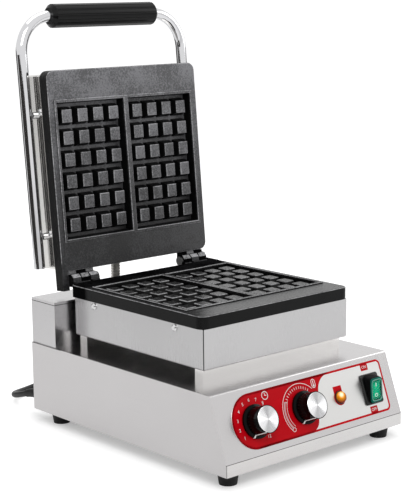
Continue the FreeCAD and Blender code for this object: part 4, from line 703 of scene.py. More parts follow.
class Bench:
    """Modelling steps on one piece at a time, as by hand; flat shapes are in local millimetres."""

    MIN_ARC_STEPS = 6
    ARC_STEP_DEGREES = 4.0

    @staticmethod
    def deselect() -> None:
        """Leaves edit mode and deselects every object."""
        if bpy.context.object is not None and bpy.context.object.mode != "OBJECT":
            bpy.ops.object.mode_set(mode="OBJECT")
        bpy.ops.object.select_all(action="DESELECT")

    @classmethod
    def hold(cls, *pieces: Piece) -> None:
        """Selects pieces alone, the first of them active.

        Args:
            pieces: The objects.
        """
        cls.deselect()
        bpy.context.view_layer.objects.active = pieces[0]
        for piece in pieces:
            piece.select_set(True)

    @staticmethod
    def named(name: str) -> Piece:
        """Names the active object and its data.

        Args:
            name: The piece's name.

        Returns:
            The object.
        """
        made = bpy.context.object
        made.name = made.data.name = name
        return made

    @classmethod
    def start(
        cls, kind: Start, name: str, size: Point, place: Point, turn: Point = (0.0, 0.0, 0.0)
    ) -> Piece:
        """Adds a primitive at its size and place.

        Args:
            kind: Which primitive.
            name: The piece's name.
            size: Its side lengths.
            place: Its centre.
            turn: Its turn about the three axes, in radians.

        Returns:
            The new object.
        """
        cls.deselect()
        if kind is Start.BLOCK:
            bpy.ops.mesh.primitive_cube_add(size=1.0)
        else:
            bpy.ops.mesh.primitive_plane_add(size=1.0)
        made = cls.named(name)
        made.scale, made.location, made.rotation_euler = size, place, turn
        bpy.ops.object.transform_apply()
        return made

    @classmethod
    def panel(cls, name: str, low: Spot, high: Spot, centre: Spot = (0.0, 0.0)) -> Piece:
        """Adds a flat rectangle.

        Args:
            name: The piece's name.
            low: Lower left corner, from the centre.
            high: Upper right corner, from the centre.
            centre: What the corners are measured from.

        Returns:
            The new object.
        """
        spans = [(at + first, at + last) for at, first, last in zip(centre, low, high)]
        size = [last - first for first, last in spans]
        middle = [(first + last) / 2 for first, last in spans]
        return cls.start(Start.PLANE, name, (*size, 1.0), (*middle, 0.0))

    @classmethod
    def disc(cls, name: str, centre: Spot, radius: float, steps: int = 40) -> Piece:
        """Adds a flat disc.

        Args:
            name: The piece's name.
            centre: The disc's centre.
            radius: Its radius.
            steps: Straight steps round it.

        Returns:
            The new object.
        """
        cls.deselect()
        bpy.ops.mesh.primitive_circle_add(
            vertices=steps, radius=radius, fill_type="NGON", location=(*centre, 0.0))
        bpy.ops.object.transform_apply()
        return cls.named(name)

    @classmethod
    @contextmanager
    def picked(cls, piece: Piece, test: Callable[[Vector], bool]) -> Iterator[None]:
        """Holds edit mode, with only those vertices selected whose place passes a test.

        Args:
            piece: The object.
            test: Takes a vertex's place and says whether it counts.

        Yields:
            Nothing; the caller's operators run meanwhile.
        """
        cls.hold(piece)
        bpy.ops.object.mode_set(mode="EDIT")
        bpy.ops.mesh.select_mode(type="VERT")
        bpy.ops.mesh.select_all(action="DESELECT")
        bpy.ops.object.mode_set(mode="OBJECT")
        for vertex in piece.data.vertices:
            vertex.select = test(vertex.co)
        bpy.ops.object.mode_set(mode="EDIT")
        yield
        bpy.ops.object.mode_set(mode="OBJECT")

    @classmethod
    @contextmanager
    def faces(cls, piece: Piece) -> Iterator[None]:
        """Holds edit mode, with every face of a piece selected.

        Args:
            piece: The object.

        Yields:
            Nothing; the caller's operators run meanwhile.
        """
        with cls.picked(piece, lambda co: True):
            bpy.ops.mesh.select_mode(type="FACE")
            bpy.ops.mesh.select_all(action="SELECT")
            yield

    @classmethod
    def round_corners(cls, piece: Piece, spots: Iterable[Spot], radius: float, steps: int) -> None:
        """Rounds corners of a flat outline.

        Args:
            piece: The object.
            spots: The corners' places.
            radius: How far from a corner its round starts.
            steps: Straight steps in a round.
        """
        for spot in spots:
            with cls.picked(piece, lambda co: (co.xy - Vector(spot)).length < SAME_PLACE):
                bpy.ops.mesh.bevel(offset=radius, affect="VERTICES", segments=steps, profile=0.5)

    @classmethod
    def thicken(cls, piece: Piece, height: float) -> None:
        """Extrudes a flat piece outwards.

        Args:
            piece: The object.
            height: Distance along local Z.
        """
        with cls.faces(piece):
            bpy.ops.mesh.extrude_region_move(TRANSFORM_OT_translate={"value": (0.0, 0.0, height)})
            bpy.ops.mesh.select_all(action="SELECT")
            bpy.ops.mesh.normals_make_consistent(inside=False)

    @classmethod
    def outline(cls, piece: Piece, width: float) -> Piece:
        """Turns a flat face into a band along its edge.

        Args:
            piece: The object with one face.
            width: The band's width.

        Returns:
            The same object.
        """
        with cls.faces(piece):
            bpy.ops.mesh.inset(thickness=width, depth=0.0)
            bpy.ops.mesh.delete(type="FACE")
        return piece

    @classmethod
    def arc(
        cls, name: str, centre: Spot, inner: float, outer: float, start: float, end: float
    ) -> Piece:
        """Spins a short edge round a centre into a flat band.

        Args:
            name: The piece's name.
            centre: Centre of the arc.
            inner: Inner radius.
            outer: Outer radius.
            start: First angle, in degrees from local X.
            end: Last angle.

        Returns:
            The new object.
        """
        made = cls.panel(name, (inner, -0.5), (outer, 0.5))
        sweep = end - start
        steps = max(cls.MIN_ARC_STEPS, int(abs(sweep) / cls.ARC_STEP_DEGREES))
        with cls.picked(made, lambda co: co.y > 0.0):
            bpy.ops.mesh.delete(type="VERT")
            bpy.ops.mesh.select_all(action="SELECT")
            bpy.ops.transform.translate(value=(0.0, 0.5, 0.0))
            bpy.ops.mesh.spin(steps=steps, angle=-math.radians(sweep),
                              center=(0.0, 0.0, 0.0), axis=(0.0, 0.0, 1.0))
        turn = Matrix.Rotation(math.radians(start), 4, "Z")
        cls.seat(made, Matrix.Translation((*centre, 0.0)) @ turn)
        return made

    @classmethod
    def words(cls, name: str, body: str, size: float, centre: Spot, weight: float = 0.0) -> Piece:
        """Adds plain lettering as a flat mesh, centred on a spot.

        Args:
            name: The piece's name.
            body: The characters.
            size: Letter size.
            centre: Where their middle lies.
            weight: How far the strokes are thickened, as a share of the size.

        Returns:
            The new mesh object.
        """
        cls.deselect()
        bpy.ops.object.text_add(location=(*centre, 0.0))
        made = cls.named(name)
        made.data.body = body
        made.data.size = size
        made.data.offset = weight
        made.data.align_x = made.data.align_y = "CENTER"
        bpy.ops.object.convert(target="MESH")
        bpy.ops.object.transform_apply()
        return made

    @classmethod
    def join(cls, name: str, pieces: Sequence[Piece]) -> Piece:
        """Joins pieces into the first one.

        Args:
            name: Name of the joined piece.
            pieces: What is joined.

        Returns:
            The joined object.
        """
        cls.hold(*pieces)
        if len(pieces) > 1:
            bpy.ops.object.join()
        return cls.named(name)

    @classmethod
    def modify(cls, piece: Piece, kind: str, **settings: object) -> None:
        """Applies one modifier to a piece.

        Args:
            piece: The object.
            kind: The modifier's type name.
            settings: Its properties by name.
        """
        cls.hold(piece)
        step = piece.modifiers.new(kind.lower(), kind)
        for name, value in settings.items():
            setattr(step, name, value)
        bpy.ops.object.modifier_apply(modifier=step.name)

    @classmethod
    def wall(cls, piece: Piece, thickness: float) -> None:
        """Gives a skin its wall, inwards, and smooth shading between sharp edges."""
        cls.modify(piece, "SOLIDIFY", thickness=thickness, offset=-1.0)
        bpy.ops.object.shade_smooth_by_angle(angle=SMOOTH_ANGLE)

    @staticmethod
    def seat(piece: Piece, matrix: Matrix) -> None:
        """Puts a piece's place into its mesh and leaves its object at the origin.

        Args:
            piece: The object.
            matrix: Where its own coordinates go.
        """
        piece.data.transform(piece.matrix_world)
        piece.matrix_world = Matrix.Identity(4)
        piece.data.transform(matrix)
        piece.data.update()

    @staticmethod
    def dress(piece: Piece, finish: Material) -> None:
        """Gives a piece one material and reports it.

        Args:
            piece: The object.
            finish: Its material.
        """
        piece.data.materials.clear()
        piece.data.materials.append(finish)
        LOG.info("%s: %s", piece.name, finish.name)


@dataclass
class Camera:
    """The photograph's viewpoint, fitted to the machine's corners in its 417 by 500 frame."""

    place: Point = (-0.992439, -1.132152, 0.477252)
    yaw: float = 0.732661764
    pitch: float = 0.202807569
    roll: float = -0.00851722953
    focal_pixels: float = 1434.61774
    centre_pixels: Spot = (14.574, 24.694)
    image_long_side: float = 500.0
    sensor: float = 36.0
    far_limit: float = 200.0

    def build(self) -> None:
        """Makes the scene's camera."""
        data = bpy.data.cameras.new("photo_camera")
        made = bpy.data.objects.new("photo_camera", data)
        bpy.context.scene.collection.objects.link(made)
        ahead = Vector((
            math.sin(self.yaw) * math.cos(self.pitch),
            math.cos(self.yaw) * math.cos(self.pitch),
            -math.sin(self.pitch),
        ))
        level = Vector((math.cos(self.yaw), -math.sin(self.yaw), 0.0))
        rise = level.cross(ahead)
        right = math.cos(self.roll) * level + math.sin(self.roll) * rise
        up = -math.sin(self.roll) * level + math.cos(self.roll) * rise
        turn = Matrix((right, up, -ahead)).transposed().to_4x4()
        made.matrix_world = Matrix.Translation(self.place) @ turn
        data.sensor_fit = "AUTO"
        data.sensor_width = self.sensor
        data.lens = self.focal_pixels * self.sensor / self.image_long_side
        data.shift_x = -self.centre_pixels[0] / self.image_long_side
        data.shift_y = self.centre_pixels[1] / self.image_long_side
        data.clip_end = self.far_limit
        bpy.context.scene.camera = made


@dataclass(frozen=True)
class Lamp:
    """One soft square lamp: its place and target, side length in metres and power in watts."""

    name: str
    place: Point
    target: Point
    width: float
    power: float

    def build(self) -> None:
        """Adds the lamp."""
        data = bpy.data.lights.new(self.name, "AREA")
        data.shape = "SQUARE"
        data.size = self.width
        data.energy = self.power
        made = bpy.data.objects.new(self.name, data)
        bpy.context.scene.collection.objects.link(made)
        made.location = self.place
        way = Vector(self.target) - Vector(self.place)
        made.rotation_euler = way.to_track_quat("-Z", "Y").to_euler()


@dataclass(frozen=True)
class Flag:
    """A dark cloth out of the picture for bright metal to mirror, turned in degrees from +X."""

    name: str
    turn: float
    reach: float
    width: float
    height: float = 0.45

    def build(self, cloth: Material) -> None:
        """Stands the cloth on the floor, where only mirrored rays meet it.

        Args:
            cloth: Its material.
        """
        way = math.radians(self.turn)
        place = (self.reach * math.cos(way), self.reach * math.sin(way), self.height / 2)
        upright = (math.pi / 2, 0.0, way + math.pi / 2)
        made = Bench.start(Start.PLANE, self.name, (self.width, self.height, 1.0), place, upright)
        made.visible_camera = made.visible_diffuse = made.visible_shadow = False
        Bench.dress(made, cloth)


@dataclass
class Studio:
    """White sweep, dark flags, soft lamps and an even white surround."""

    floor_reach: float = 60.0
    floor_tone: Colour = (0.82, 0.82, 0.82)
    fibre_share: float = 0.985
    floor_lift: Spot = (0.3, 0.55)
    lift_reach: float = 0.04
    mirrored_share: float = 0.4
    footprint: Box = ((-0.12, -0.165, -0.1), (0.12, 0.142, 0.1))
    surround: float = 0.62
    lamps: tuple[Lamp, ...] = (
        Lamp("key_lamp", (-1.1, -1.3, 1.7), (0.0, 0.0, 0.2), 1.2, 15.0),
        Lamp("fill_lamp", (1.6, -0.7, 1.0), (0.0, 0.0, 0.2), 1.0, 7.0),
        Lamp("top_lamp", (0.1, 0.5, 2.0), (0.0, 0.0, 0.1), 1.4, 9.0),
    )
    flags: tuple[Flag, ...] = (
        Flag("flag_left", 200.0, 1.3, 0.8),
        Flag("flag_rear_left", 162.0, 1.3, 1.0),
        Flag("flag_rear", 102.0, 1.3, 1.0),
        Flag("flag_right", 352.0, 1.4, 0.6),
    )

    def build(self) -> None:
        """Makes floor, surround, flags and lamps."""
        self.floor()
        self.world()
        cloth = Moulding("flag_cloth", (0.03, 0.027, 0.025), 0.9, 300.0, 0.0002).make()
        for flag in self.flags:
            flag.build(cloth)
        for lamp in self.lamps:
            lamp.build()

    def floor(self) -> None:
        """Lays the floor, white where it is seen and lit enough to keep the shadow, with painted
        shadow close round the footprint.
        """
        side = 2 * self.floor_reach
        made = Bench.start(Start.PLANE, "studio_floor", (side, side, 1.0), (0.0, 0.0, 0.0))
        sheet = ShaderSheet("floor_paper")
        # Painted shadow: the floor glows less within a few centimetres of the footprint.
        lift = sheet.spread(sheet.outside(self.footprint), *self.floor_lift, 0.0, self.lift_reach)
        dim = shade(self.floor_tone, self.fibre_share)
        sheet.fix(
            Base_Color=sheet.over(sheet.noise(12.0), self.floor_tone, dim),
            Roughness=0.9,
            Specular_IOR_Level=0.1,
            Emission_Color=WHITE_LIGHT,
            Emission_Strength=sheet.math("MULTIPLY", lift, sheet.seen(self.mirrored_share)),
        )
        Bench.dress(made, sheet.material)

    def world(self) -> None:
        """Sets an even surround that is white to the eye and to metal."""
        world = bpy.data.worlds.new("studio_surround")
        bpy.context.scene.world = world
        world.use_nodes = True
        sheet = NodeSheet(world.node_tree)
        strength = sheet.spread(sheet.seen(), self.surround, 1.0, 0.0, 1.0)
        sheet.feed_named(world.node_tree.nodes["Background"], Color=WHITE_LIGHT, Strength=strength)


@dataclass
class MainsLead:
    """The mains lead: from its strain relief down to the table, into a tied coil, to the plug."""

    diameter: float = 6.8
    relief_exit: Point = (-113.0, 177.2, 21.48)
    relief_droop: float = 18.0
    relief_run: float = 24.2
    route: tuple[Point, ...] = (
        (-102.5, 223.0, 8.8),
        (-78.0, 236.5, 5.6),
        (-51.0, 246.5, 4.8),
        (-24.0, 252.6, 4.7),
        (-4.0, 255.0, 4.7),
    )
    tail: tuple[Point, ...] = (
        (40.0, 255.0, 12.1),
        (57.0, 252.8, 14.6),
        (74.0, 249.4, 18.5),
        (91.0, 249.4, 18.5),
    )
    coil_centre: Spot = (20.0, 206.5)
    coil_outer: float = 48.5
    coil_pitch: float = 7.4
    coil_floor: float = 4.7
    coil_swell: float = 1.4
    turns_in: float = 2.25
    turns_climb: float = 0.5
    points_per_turn: int = 16
    length: float = 1.483

    def coil_points(self) -> list[Point]:
        """Returns the coil's turns as points: in on the table, up, and out on top."""
        total = 2 * self.turns_in + self.turns_climb
        count = int(round(total * self.points_per_turn))
        reverse = total / 2
        inner = self.coil_outer - self.coil_pitch * reverse
        swell = 1.0 / math.cos(math.pi / self.points_per_turn) ** self.coil_swell
        points = []
        for step in range(count + 1):
            turn = step / self.points_per_turn
            reach = (inner + self.coil_pitch * abs(turn - reverse)) * swell
            share = min(max((turn - self.turns_in) / self.turns_climb, 0.0), 1.0)
            climb = share * share * (3.0 - 2.0 * share)
            angle = math.pi / 2 - 2 * math.pi * turn
            points.append((
                self.coil_centre[0] + reach * math.cos(angle),
                self.coil_centre[1] + reach * math.sin(angle),
                self.coil_floor + self.coil_pitch * climb,
            ))
        return points

    def build(self, finish: Material) -> None:
        """Draws the lead as one smooth spline.

        Args:
            finish: The jacket's material.
        """
        droop = math.radians(self.relief_droop)
        exit_way = Vector((0.0, math.cos(droop), -math.sin(droop)))
        start = Vector(self.relief_exit)
        places = [start, start + exit_way * self.relief_run]
        places += [Vector(point) for point in (*self.route, *self.coil_points(), *self.tail)]
        data = bpy.data.curves.new("mains_lead", "CURVE")
        data.dimensions = "3D"
        spline = data.splines.new("NURBS")
        spline.points.add(len(places) - 1)
        for point, place in zip(spline.points, places):
            point.co = (*(place * MM), 1.0)
        spline.order_u = 3
        spline.use_endpoint_u = True
        spline.resolution_u = 6
        data.bevel_depth = self.diameter / 2 * MM
        data.bevel_resolution = 4
        data.use_fill_caps = True
        made = bpy.data.objects.new("mains_lead", data)
        bpy.context.scene.collection.objects.link(made)
        Bench.dress(made, finish)
        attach(made, Body.BASE.value)
        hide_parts("cord_run", "cord_coil", "cord_tail")


@dataclass
class PanelPrint:
    """Marks printed on the control film, in panel millimetres from the lip's middle."""

    sizes: IronSizes
    ink: float = 0.03
    field_left: float = -106.0
    field_right: float = 111.5
    field_low: float = 6.3
    field_high: float = 61.6
    red_right: float = -4.0
    end_round: float = 27.4
    end_steps: int = 24
    corner_round: float = 6.0
    line: float = 2.2
    dial_reach: float = 21.8
    dial_zero: float = 240.6
    dial_step: float = 24.4
    dial_count: int = 12
    number_size: float = 4.6
    number_weight: float = 0.04
    word_size: float = 4.4
    clock_centre: Spot = (-56.8, 55.2)
    stroke_count: int = 13
    stroke_start: float = 152.0
    stroke_step: float = 8.2
    stroke_width: float = 1.6
    stroke_reach: float = 24.2
    stroke_drift: float = 0.16
    stroke_length: float = 2.6
    sign_centre: Spot = (10.6, 54.2)
    sign_half: Spot = (2.9, 4.6)

    def build(self, red: Material, white: Material, pale: Material) -> None:
        """Prints the film.

        Args:
            red: The field's ink.
            white: The marks' ink.
            pale: The thermostat column's ink.
        """
        self.lay("print_field", [self.red_field(), self.border(), *self.tabs()], red, 0)
        self.lay("print_timer", [*self.timer_numbers(), *self.clock()], white, 1)
        self.lay("print_thermostat", [*self.heat_scale(), *self.heat_sign()], white, 1)
        self.lay("print_heat_column", [self.heat_column()], pale, 1)
        self.lay("print_switch_words", self.switch_words(), white, 1)

    def lay(self, name: str, pieces: list[Piece], ink: Material, layer: int) -> None:
        """Joins one ink's shapes and lays them on the film.

        Args:
            name: The joined piece's name.
            pieces: Flat shapes in panel millimetres.
            ink: Their material.
            layer: How many inks lie below.
        """
        made = Bench.join(name, pieces)
        Bench.thicken(made, self.ink)
        Bench.seat(made, self.sizes.panel(out=self.sizes.film_top + layer * self.ink))
        Bench.dress(made, ink)
        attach(made, Body.BASE.value)

    def red_field(self) -> Piece:
        """Returns the coloured field behind both knobs, its right edge leaning."""
        low, high = self.field_low, self.field_high
        made = Bench.panel("red_field", (self.field_left, low), (self.red_right, high))
        edge = self.red_right - 1.0
        with Bench.picked(made, lambda co: co.x > edge):
            bpy.ops.mesh.subdivide(number_cuts=2)
        right = [vertex.co.copy() for vertex in made.data.vertices if vertex.co.x > edge]
        places = sorted(right, key=lambda co: co.y)
        spots = [(-5.0, low), (4.6, 11.5), (18.5, 56.5), (36.0, high)]
        for place, spot in zip(places, spots):
            with Bench.picked(made, lambda co: (co - place).length < SAME_PLACE):
                bpy.ops.transform.translate(value=(spot[0] - place.x, spot[1] - place.y, 0.0))
        Bench.round_corners(made, spots[1:2], 4.0, 6)
        Bench.round_corners(made, spots[2:3], 9.0, 8)
        left = product((self.field_left,), (low, high))
        Bench.round_corners(made, left, self.end_round, self.end_steps)
        return made

    def border(self) -> Piece:
        """Returns the thin line round the whole film."""
        low, high = self.field_low, self.field_high
        made = Bench.panel("film_border", (self.field_left, low), (self.field_right, high))
        for y in (low, high):
            Bench.round_corners(made, [(self.field_left, y)], self.end_round, self.end_steps)
            Bench.round_corners(made, [(self.field_right, y)], self.corner_round, 10)
        return Bench.outline(made, self.line)

    def tabs(self) -> list[Piece]:
        """Returns the small tabs above and below the switch and above the lamp."""
        return [
            Bench.panel("tab_on", (81.8, 53.0), (92.4, 60.6)),
            Bench.panel("tab_off", (81.4, 7.0), (92.0, 15.0)),
            Bench.panel("tab_lamp", (35.6, 34.0), (47.6, 45.2)),
            Bench.disc("tab_lamp_round", (self.sizes.lamp_x, self.sizes.control_level), 8.0),
        ]

    def switch_words(self) -> list[Piece]:
        """Returns the plain words on the switch's tabs."""
        words = (("word_on", "ON", (87.1, 56.6)), ("word_off", "OFF", (86.7, 11.4)))
        return [Bench.words(name, body, self.word_size, centre) for name, body, centre in words]

    def timer_numbers(self) -> list[Piece]:
        """Returns the minute numbers round the timer's knob."""
        made = []
        for count in range(1, self.dial_count + 1):
            turn = math.radians(self.dial_zero - self.dial_step * count)
            spot = (
                self.sizes.timer_x + self.dial_reach * math.cos(turn),
                self.sizes.control_level + self.dial_reach * math.sin(turn),
            )
            name = f"minute_{count}"
            made.append(Bench.words(name, str(count), self.number_size, spot, self.number_weight))
        return made

    def clock(self) -> list[Piece]:
        """Returns the clock sign: a ring and two hands."""
        return [
            Bench.outline(Bench.disc("clock_ring", self.clock_centre, 4.3), 0.75),
            Bench.panel("clock_hand_tall", (-0.35, -0.35), (0.35, 3.0), self.clock_centre),
            Bench.panel("clock_hand_wide", (0.35, -0.35), (2.4, 0.35), self.clock_centre),
        ]

    def heat_scale(self) -> list[Piece]:
        """Returns the thermostat's curved scale: two lines, a foot bulb and short strokes."""
        made = [
            Bench.arc("heat_outer", (-12.3, 32.0), 25.9, 26.5, 42.0, 226.0),
            Bench.arc("heat_inner", (-10.3, 32.6), 22.0, 22.5, 150.0, 222.0),
            Bench.outline(Bench.disc("heat_bulb", (-29.4, 14.8), 2.4, 24), 0.6),
        ]
        for index in range(self.stroke_count):
            turn = self.stroke_start - self.stroke_step * index
            reach = self.stroke_reach - self.stroke_drift * index
            inner, end = reach - self.stroke_length, turn + self.stroke_width
            made.append(Bench.arc(f"heat_stroke_{index}", (-11.3, 32.3), inner, reach, turn, end))
        return made

    def heat_column(self) -> Piece:
        """Returns the scale's pale column along its left side."""
        return Bench.arc("heat_column", (-11.5, 32.2), 23.2, 25.4, 152.0, 222.0)

    def heat_sign(self) -> list[Piece]:
        """Returns the thermometer sign: an upright ring with a column in it."""
        (x, y), (wide, tall) = self.sign_centre, self.sign_half
        ring = Bench.panel("thermo_ring", (-wide, -tall), (wide, tall), self.sign_centre)
        Bench.round_corners(ring, product((x - wide, x + wide), (y - tall, y + tall)), 2.8, 8)
        return [
            Bench.outline(ring, 0.7),
            Bench.panel("thermo_column", (-0.5, -1.6), (0.5, 3.0), self.sign_centre),
            Bench.disc("thermo_bulb", (x, y - 2.1), 1.3, 20),
        ]


@dataclass
class ControlKnob:
    """White pointer on a knob, from its skirt up its side to the cap."""

    sizes: IronSizes
    name: str
    across: float
    body: Body
    pointer_turn: float = 240.6
    skirt_reach: float = 17.0
    skirt_low: float = 1.4
    skirt_top: float = 3.6
    side_reach: float = 14.5
    side_low: float = 5.2
    side_depth: float = 1.2
    side_lean: float = 0.78
    overlap: float = 1.4
    top: float = 20.0
    width: float = 1.5
    proud: float = 0.12
    soft_edge: float = 0.12

    def build(self, finish: Material) -> None:
        """Models the pointer.

        Args:
            finish: The pointer's paint.
        """
        inner, outer, low, top = self.side_reach, self.skirt_reach, self.skirt_low, self.skirt_top
        size = (outer - inner + self.overlap, self.width, top - low + self.proud)
        place = ((outer + inner - self.overlap) / 2 + self.proud, 0.0, (low + top + self.proud) / 2)
        made = Bench.start(Start.BLOCK, self.name, size, place)
        painted = top + self.proud
        with Bench.picked(made, lambda co: abs(co.z - painted) < SAME_PLACE and co.x < inner):
            bpy.ops.transform.translate(value=(0.0, 0.0, self.side_low - top))
        Bench.join(self.name, [made, self.side()])
        Bench.modify(made, "BEVEL", width=self.soft_edge, segments=2)
        turn = Matrix.Rotation(math.radians(self.pointer_turn), 4, "Z")
        Bench.seat(made, self.sizes.control(self.across) @ turn)
        Bench.dress(made, finish)
        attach(made, self.body.value)

    def side(self) -> Piece:
        """Returns the stroke up the knob's side, leaning in to its top."""
        size = (self.side_depth, self.width, self.top - self.side_low)
        reach = self.side_reach - self.side_depth / 2 + self.proud
        place = (reach, 0.0, (self.top + self.side_low) / 2)
        made = Bench.start(Start.BLOCK, self.name + "_side", size, place)
        with Bench.picked(made, lambda co: co.z > self.top - SAME_PLACE):
            bpy.ops.transform.translate(value=(-self.side_lean, 0.0, 0.0))
        return made


@dataclass
class SealedSwitch:
    """The soft clear boot over the rocker, and the plain on and off signs on the rocker's face."""

    sizes: IronSizes
    tilt: float = 16.0
    bezel_top: float = 3.0
    foot: Spot = (9.4, 15.2)
    face: Spot = (8.6, 12.5)
    face_reach: float = 9.2
    fold: Spot = (2.1, 0.6)
    corner: float = 3.6
    edge: float = 0.7
    edge_angle: float = 40.0
    wall: float = 0.7
    mark_reach: float = 5.6
    mark_level: float = 7.88
    ink: float = 0.05
    skin: str = "boot_skin"

    def rest(self) -> Matrix:
        """Returns the rocker's frame at rest: local Z out through its face."""
        lean = Matrix.Rotation(math.radians(self.tilt), 4, "X")
        return self.sizes.control(self.sizes.switch_x) @ lean

    def build(self, clear: Material, white: Material) -> None:
        """Adds the boot and the marks.

        Args:
            clear: The boot's moulding.
            white: The marks' ink.
        """
        self.marks(white)
        boot = self.boot()
        Bench.seat(boot, self.sizes.control(self.sizes.switch_x))
        self.keep_skin(boot)
        Bench.dress(boot, clear)
        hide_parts("switch_boot")
        levels = [self.face_reach - below for below in self.fold]
        start, end = (self.rest() @ Vector((0.0, 0.0, level)) for level in levels)
        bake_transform(boot)

    def boot(self) -> Piece:
        """Returns the boot: an outline drawn up to a leaning face, soft edges and a thin wall."""
        wide, tall = self.foot
        top = self.face_reach
        made = Bench.panel("rocker_boot", (-wide, -tall), (wide, tall))
        Bench.round_corners(made, product((-wide, wide), (-tall, tall)), self.corner, 6)
        Bench.thicken(made, top)
        with Bench.picked(made, lambda co: co.z > top - SAME_PLACE):
            shrink = (self.face[0] / wide, self.face[1] / tall, 1.0)
            bpy.ops.transform.resize(value=shrink, center_override=(0.0, 0.0, top))
            bpy.ops.transform.rotate(
                value=-math.radians(self.tilt), orient_axis="X", center_override=(0.0, 0.0, 0.0))
        with Bench.picked(made, lambda co: abs(co.z) < SAME_PLACE):
            bpy.ops.transform.translate(value=(0.0, 0.0, self.bezel_top))
            bpy.ops.mesh.delete(type="ONLY_FACE")
        limit = math.radians(self.edge_angle)
        Bench.modify(made, "BEVEL", width=self.edge, segments=3, angle_limit=limit)
        Bench.wall(made, self.wall)
        return made

    def keep_skin(self, made: Piece) -> None:
        """Keeps each point's place at rest as an attribute, so that the window moves with the face.

        Args:
            made: The seated boot.
        """
        kept = made.data.attributes.new(self.skin, "FLOAT_VECTOR", "POINT")
        for vertex, entry in zip(made.data.vertices, kept.data):
            entry.vector = vertex.co

    def marks(self, white: Material) -> None:
        """Lays the bar on the upper half of the rocker's face and the ring on the lower one.

        Args:
            white: The marks' ink.
        """
        bar = Bench.panel("rocker_on_mark", (-0.5, -2.0), (0.5, 2.0))
        ring = Bench.outline(Bench.disc("rocker_off_mark", (0.0, 0.0), 2.1, 32), 0.75)
        for made, side in ((bar, 1), (ring, -1)):
            Bench.thicken(made, self.ink)
            place = Matrix.Translation((0.0, side * self.mark_reach, self.mark_level))
            Bench.seat(made, self.rest() @ place)
            Bench.dress(made, white)
            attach(made, Body.ROCKER.value)


@dataclass
class LidConduit:
    """Ribbed metal conduit from the rear box into the lid, built straight and fixed to the base."""

    outer: float = 5.5
    groove: float = 0.8
    pitch: float = 3.0
    steps: int = 32
    wall: float = 0.6
    stiff_end: float = 2.4

    def build(self, finish: Material) -> None:
        """Models the conduit.

        Args:
            finish: Its metal.
        """
        low_corner, high_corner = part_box("wiring_conduit")
        length = (high_corner.z - low_corner.z) / MM
        count = int(length / self.pitch)
        pitch = length / count
        Bench.deselect()
        bpy.ops.mesh.primitive_circle_add(vertices=self.steps, radius=self.outer - self.groove)
        made = Bench.named("lid_conduit")
        for _ in range(count):
            for share, swell in ((0.2, 0.0), (0.25, self.groove), (0.3, 0.0), (0.25, -self.groove)):
                self.rise(made, share * pitch, swell)
        with Bench.faces(made):
            bpy.ops.mesh.normals_make_consistent(inside=False)
        Bench.wall(made, self.wall)
        middle = (low_corner + high_corner) / 2
        foot = Matrix.Translation((middle.x, middle.y, low_corner.z))
        Bench.seat(made, foot @ Matrix.Scale(MM, 4))
        Bench.dress(made, finish)
        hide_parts("wiring_conduit")
        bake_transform(made)
        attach(made, Body.BASE.value)

    @staticmethod
    def rise(made: Piece, step: float, swell: float) -> None:
        """Extrudes the tube's top ring upwards and changes its radius.

        Args:
            made: The tube so far.
            step: How far up.
            swell: How much the radius grows.
        """
        ring = max(vertex.co.z for vertex in made.data.vertices) - SAME_PLACE
        radius = max(vertex.co.xy.length for vertex in made.data.vertices if vertex.co.z > ring)
        with Bench.picked(made, lambda co: co.z > ring):
            bpy.ops.mesh.extrude_region_move(TRANSFORM_OT_translate={"value": (0.0, 0.0, step)})
            if swell:
                grow = ((radius + swell) / radius,) * 2
                bpy.ops.transform.resize(value=(*grow, 1.0), center_override=(0.0, 0.0, 0.0))


@dataclass(frozen=True)
class SheetSeams:
    """Boxes, in metres, with a dark line inside each: seams between sheets, and the housing's fold
    as painted shade.
    """

    sizes: IronSizes
    clear: float = 0.001
    fold_width: float = 0.0009
    base_half: float = 0.126
    lip_end: float = -0.1248
    lip_clear: float = 0.002
    lip_skin: float = 0.0003
    lip_gap: Spot = (0.2, 0.1)
    cap_gap: Spot = (0.0003, 0.0002)
    rear_ledge: Box = ((-0.127, 0.094, 0.0886), (-0.1245, 0.149, 0.0891))

    def base(self) -> tuple[Box, ...]:
        """Returns the seams over the lip, at its left end and under the rear box."""
        front, foot = self.sizes.front * MM, self.sizes.foot_height
        before, lip = front - self.lip_clear, foot + self.sizes.lip_height
        low, high = (lip - self.lip_gap[0]) * MM, (lip + self.lip_gap[1]) * MM
        return (
            ((-self.base_half, before, low), (self.base_half, front + self.clear, high)),
            ((-self.base_half, before, foot * MM), (self.lip_end, front + self.lip_skin, lip * MM)),
            self.rear_ledge,
        )

    def fold(self) -> Box:
        """Returns the fold at the lower housing's front left edge, whose dark line is painted
        shade.
        """
        low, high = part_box("lower_housing")
        width, clear = self.fold_width, self.clear
        return (low.x - clear, low.y - clear, low.z), (low.x + width, low.y + width, high.z)

    def cap(self) -> Box:
        """Returns the seam under the rear box's cap."""
        low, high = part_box("rear_box_cap")
        clear, (below, over) = self.clear, self.cap_gap
        first = (low.x - clear, low.y - clear, low.z - below)
        return first, (high.x + clear, high.y + clear, low.z + over)


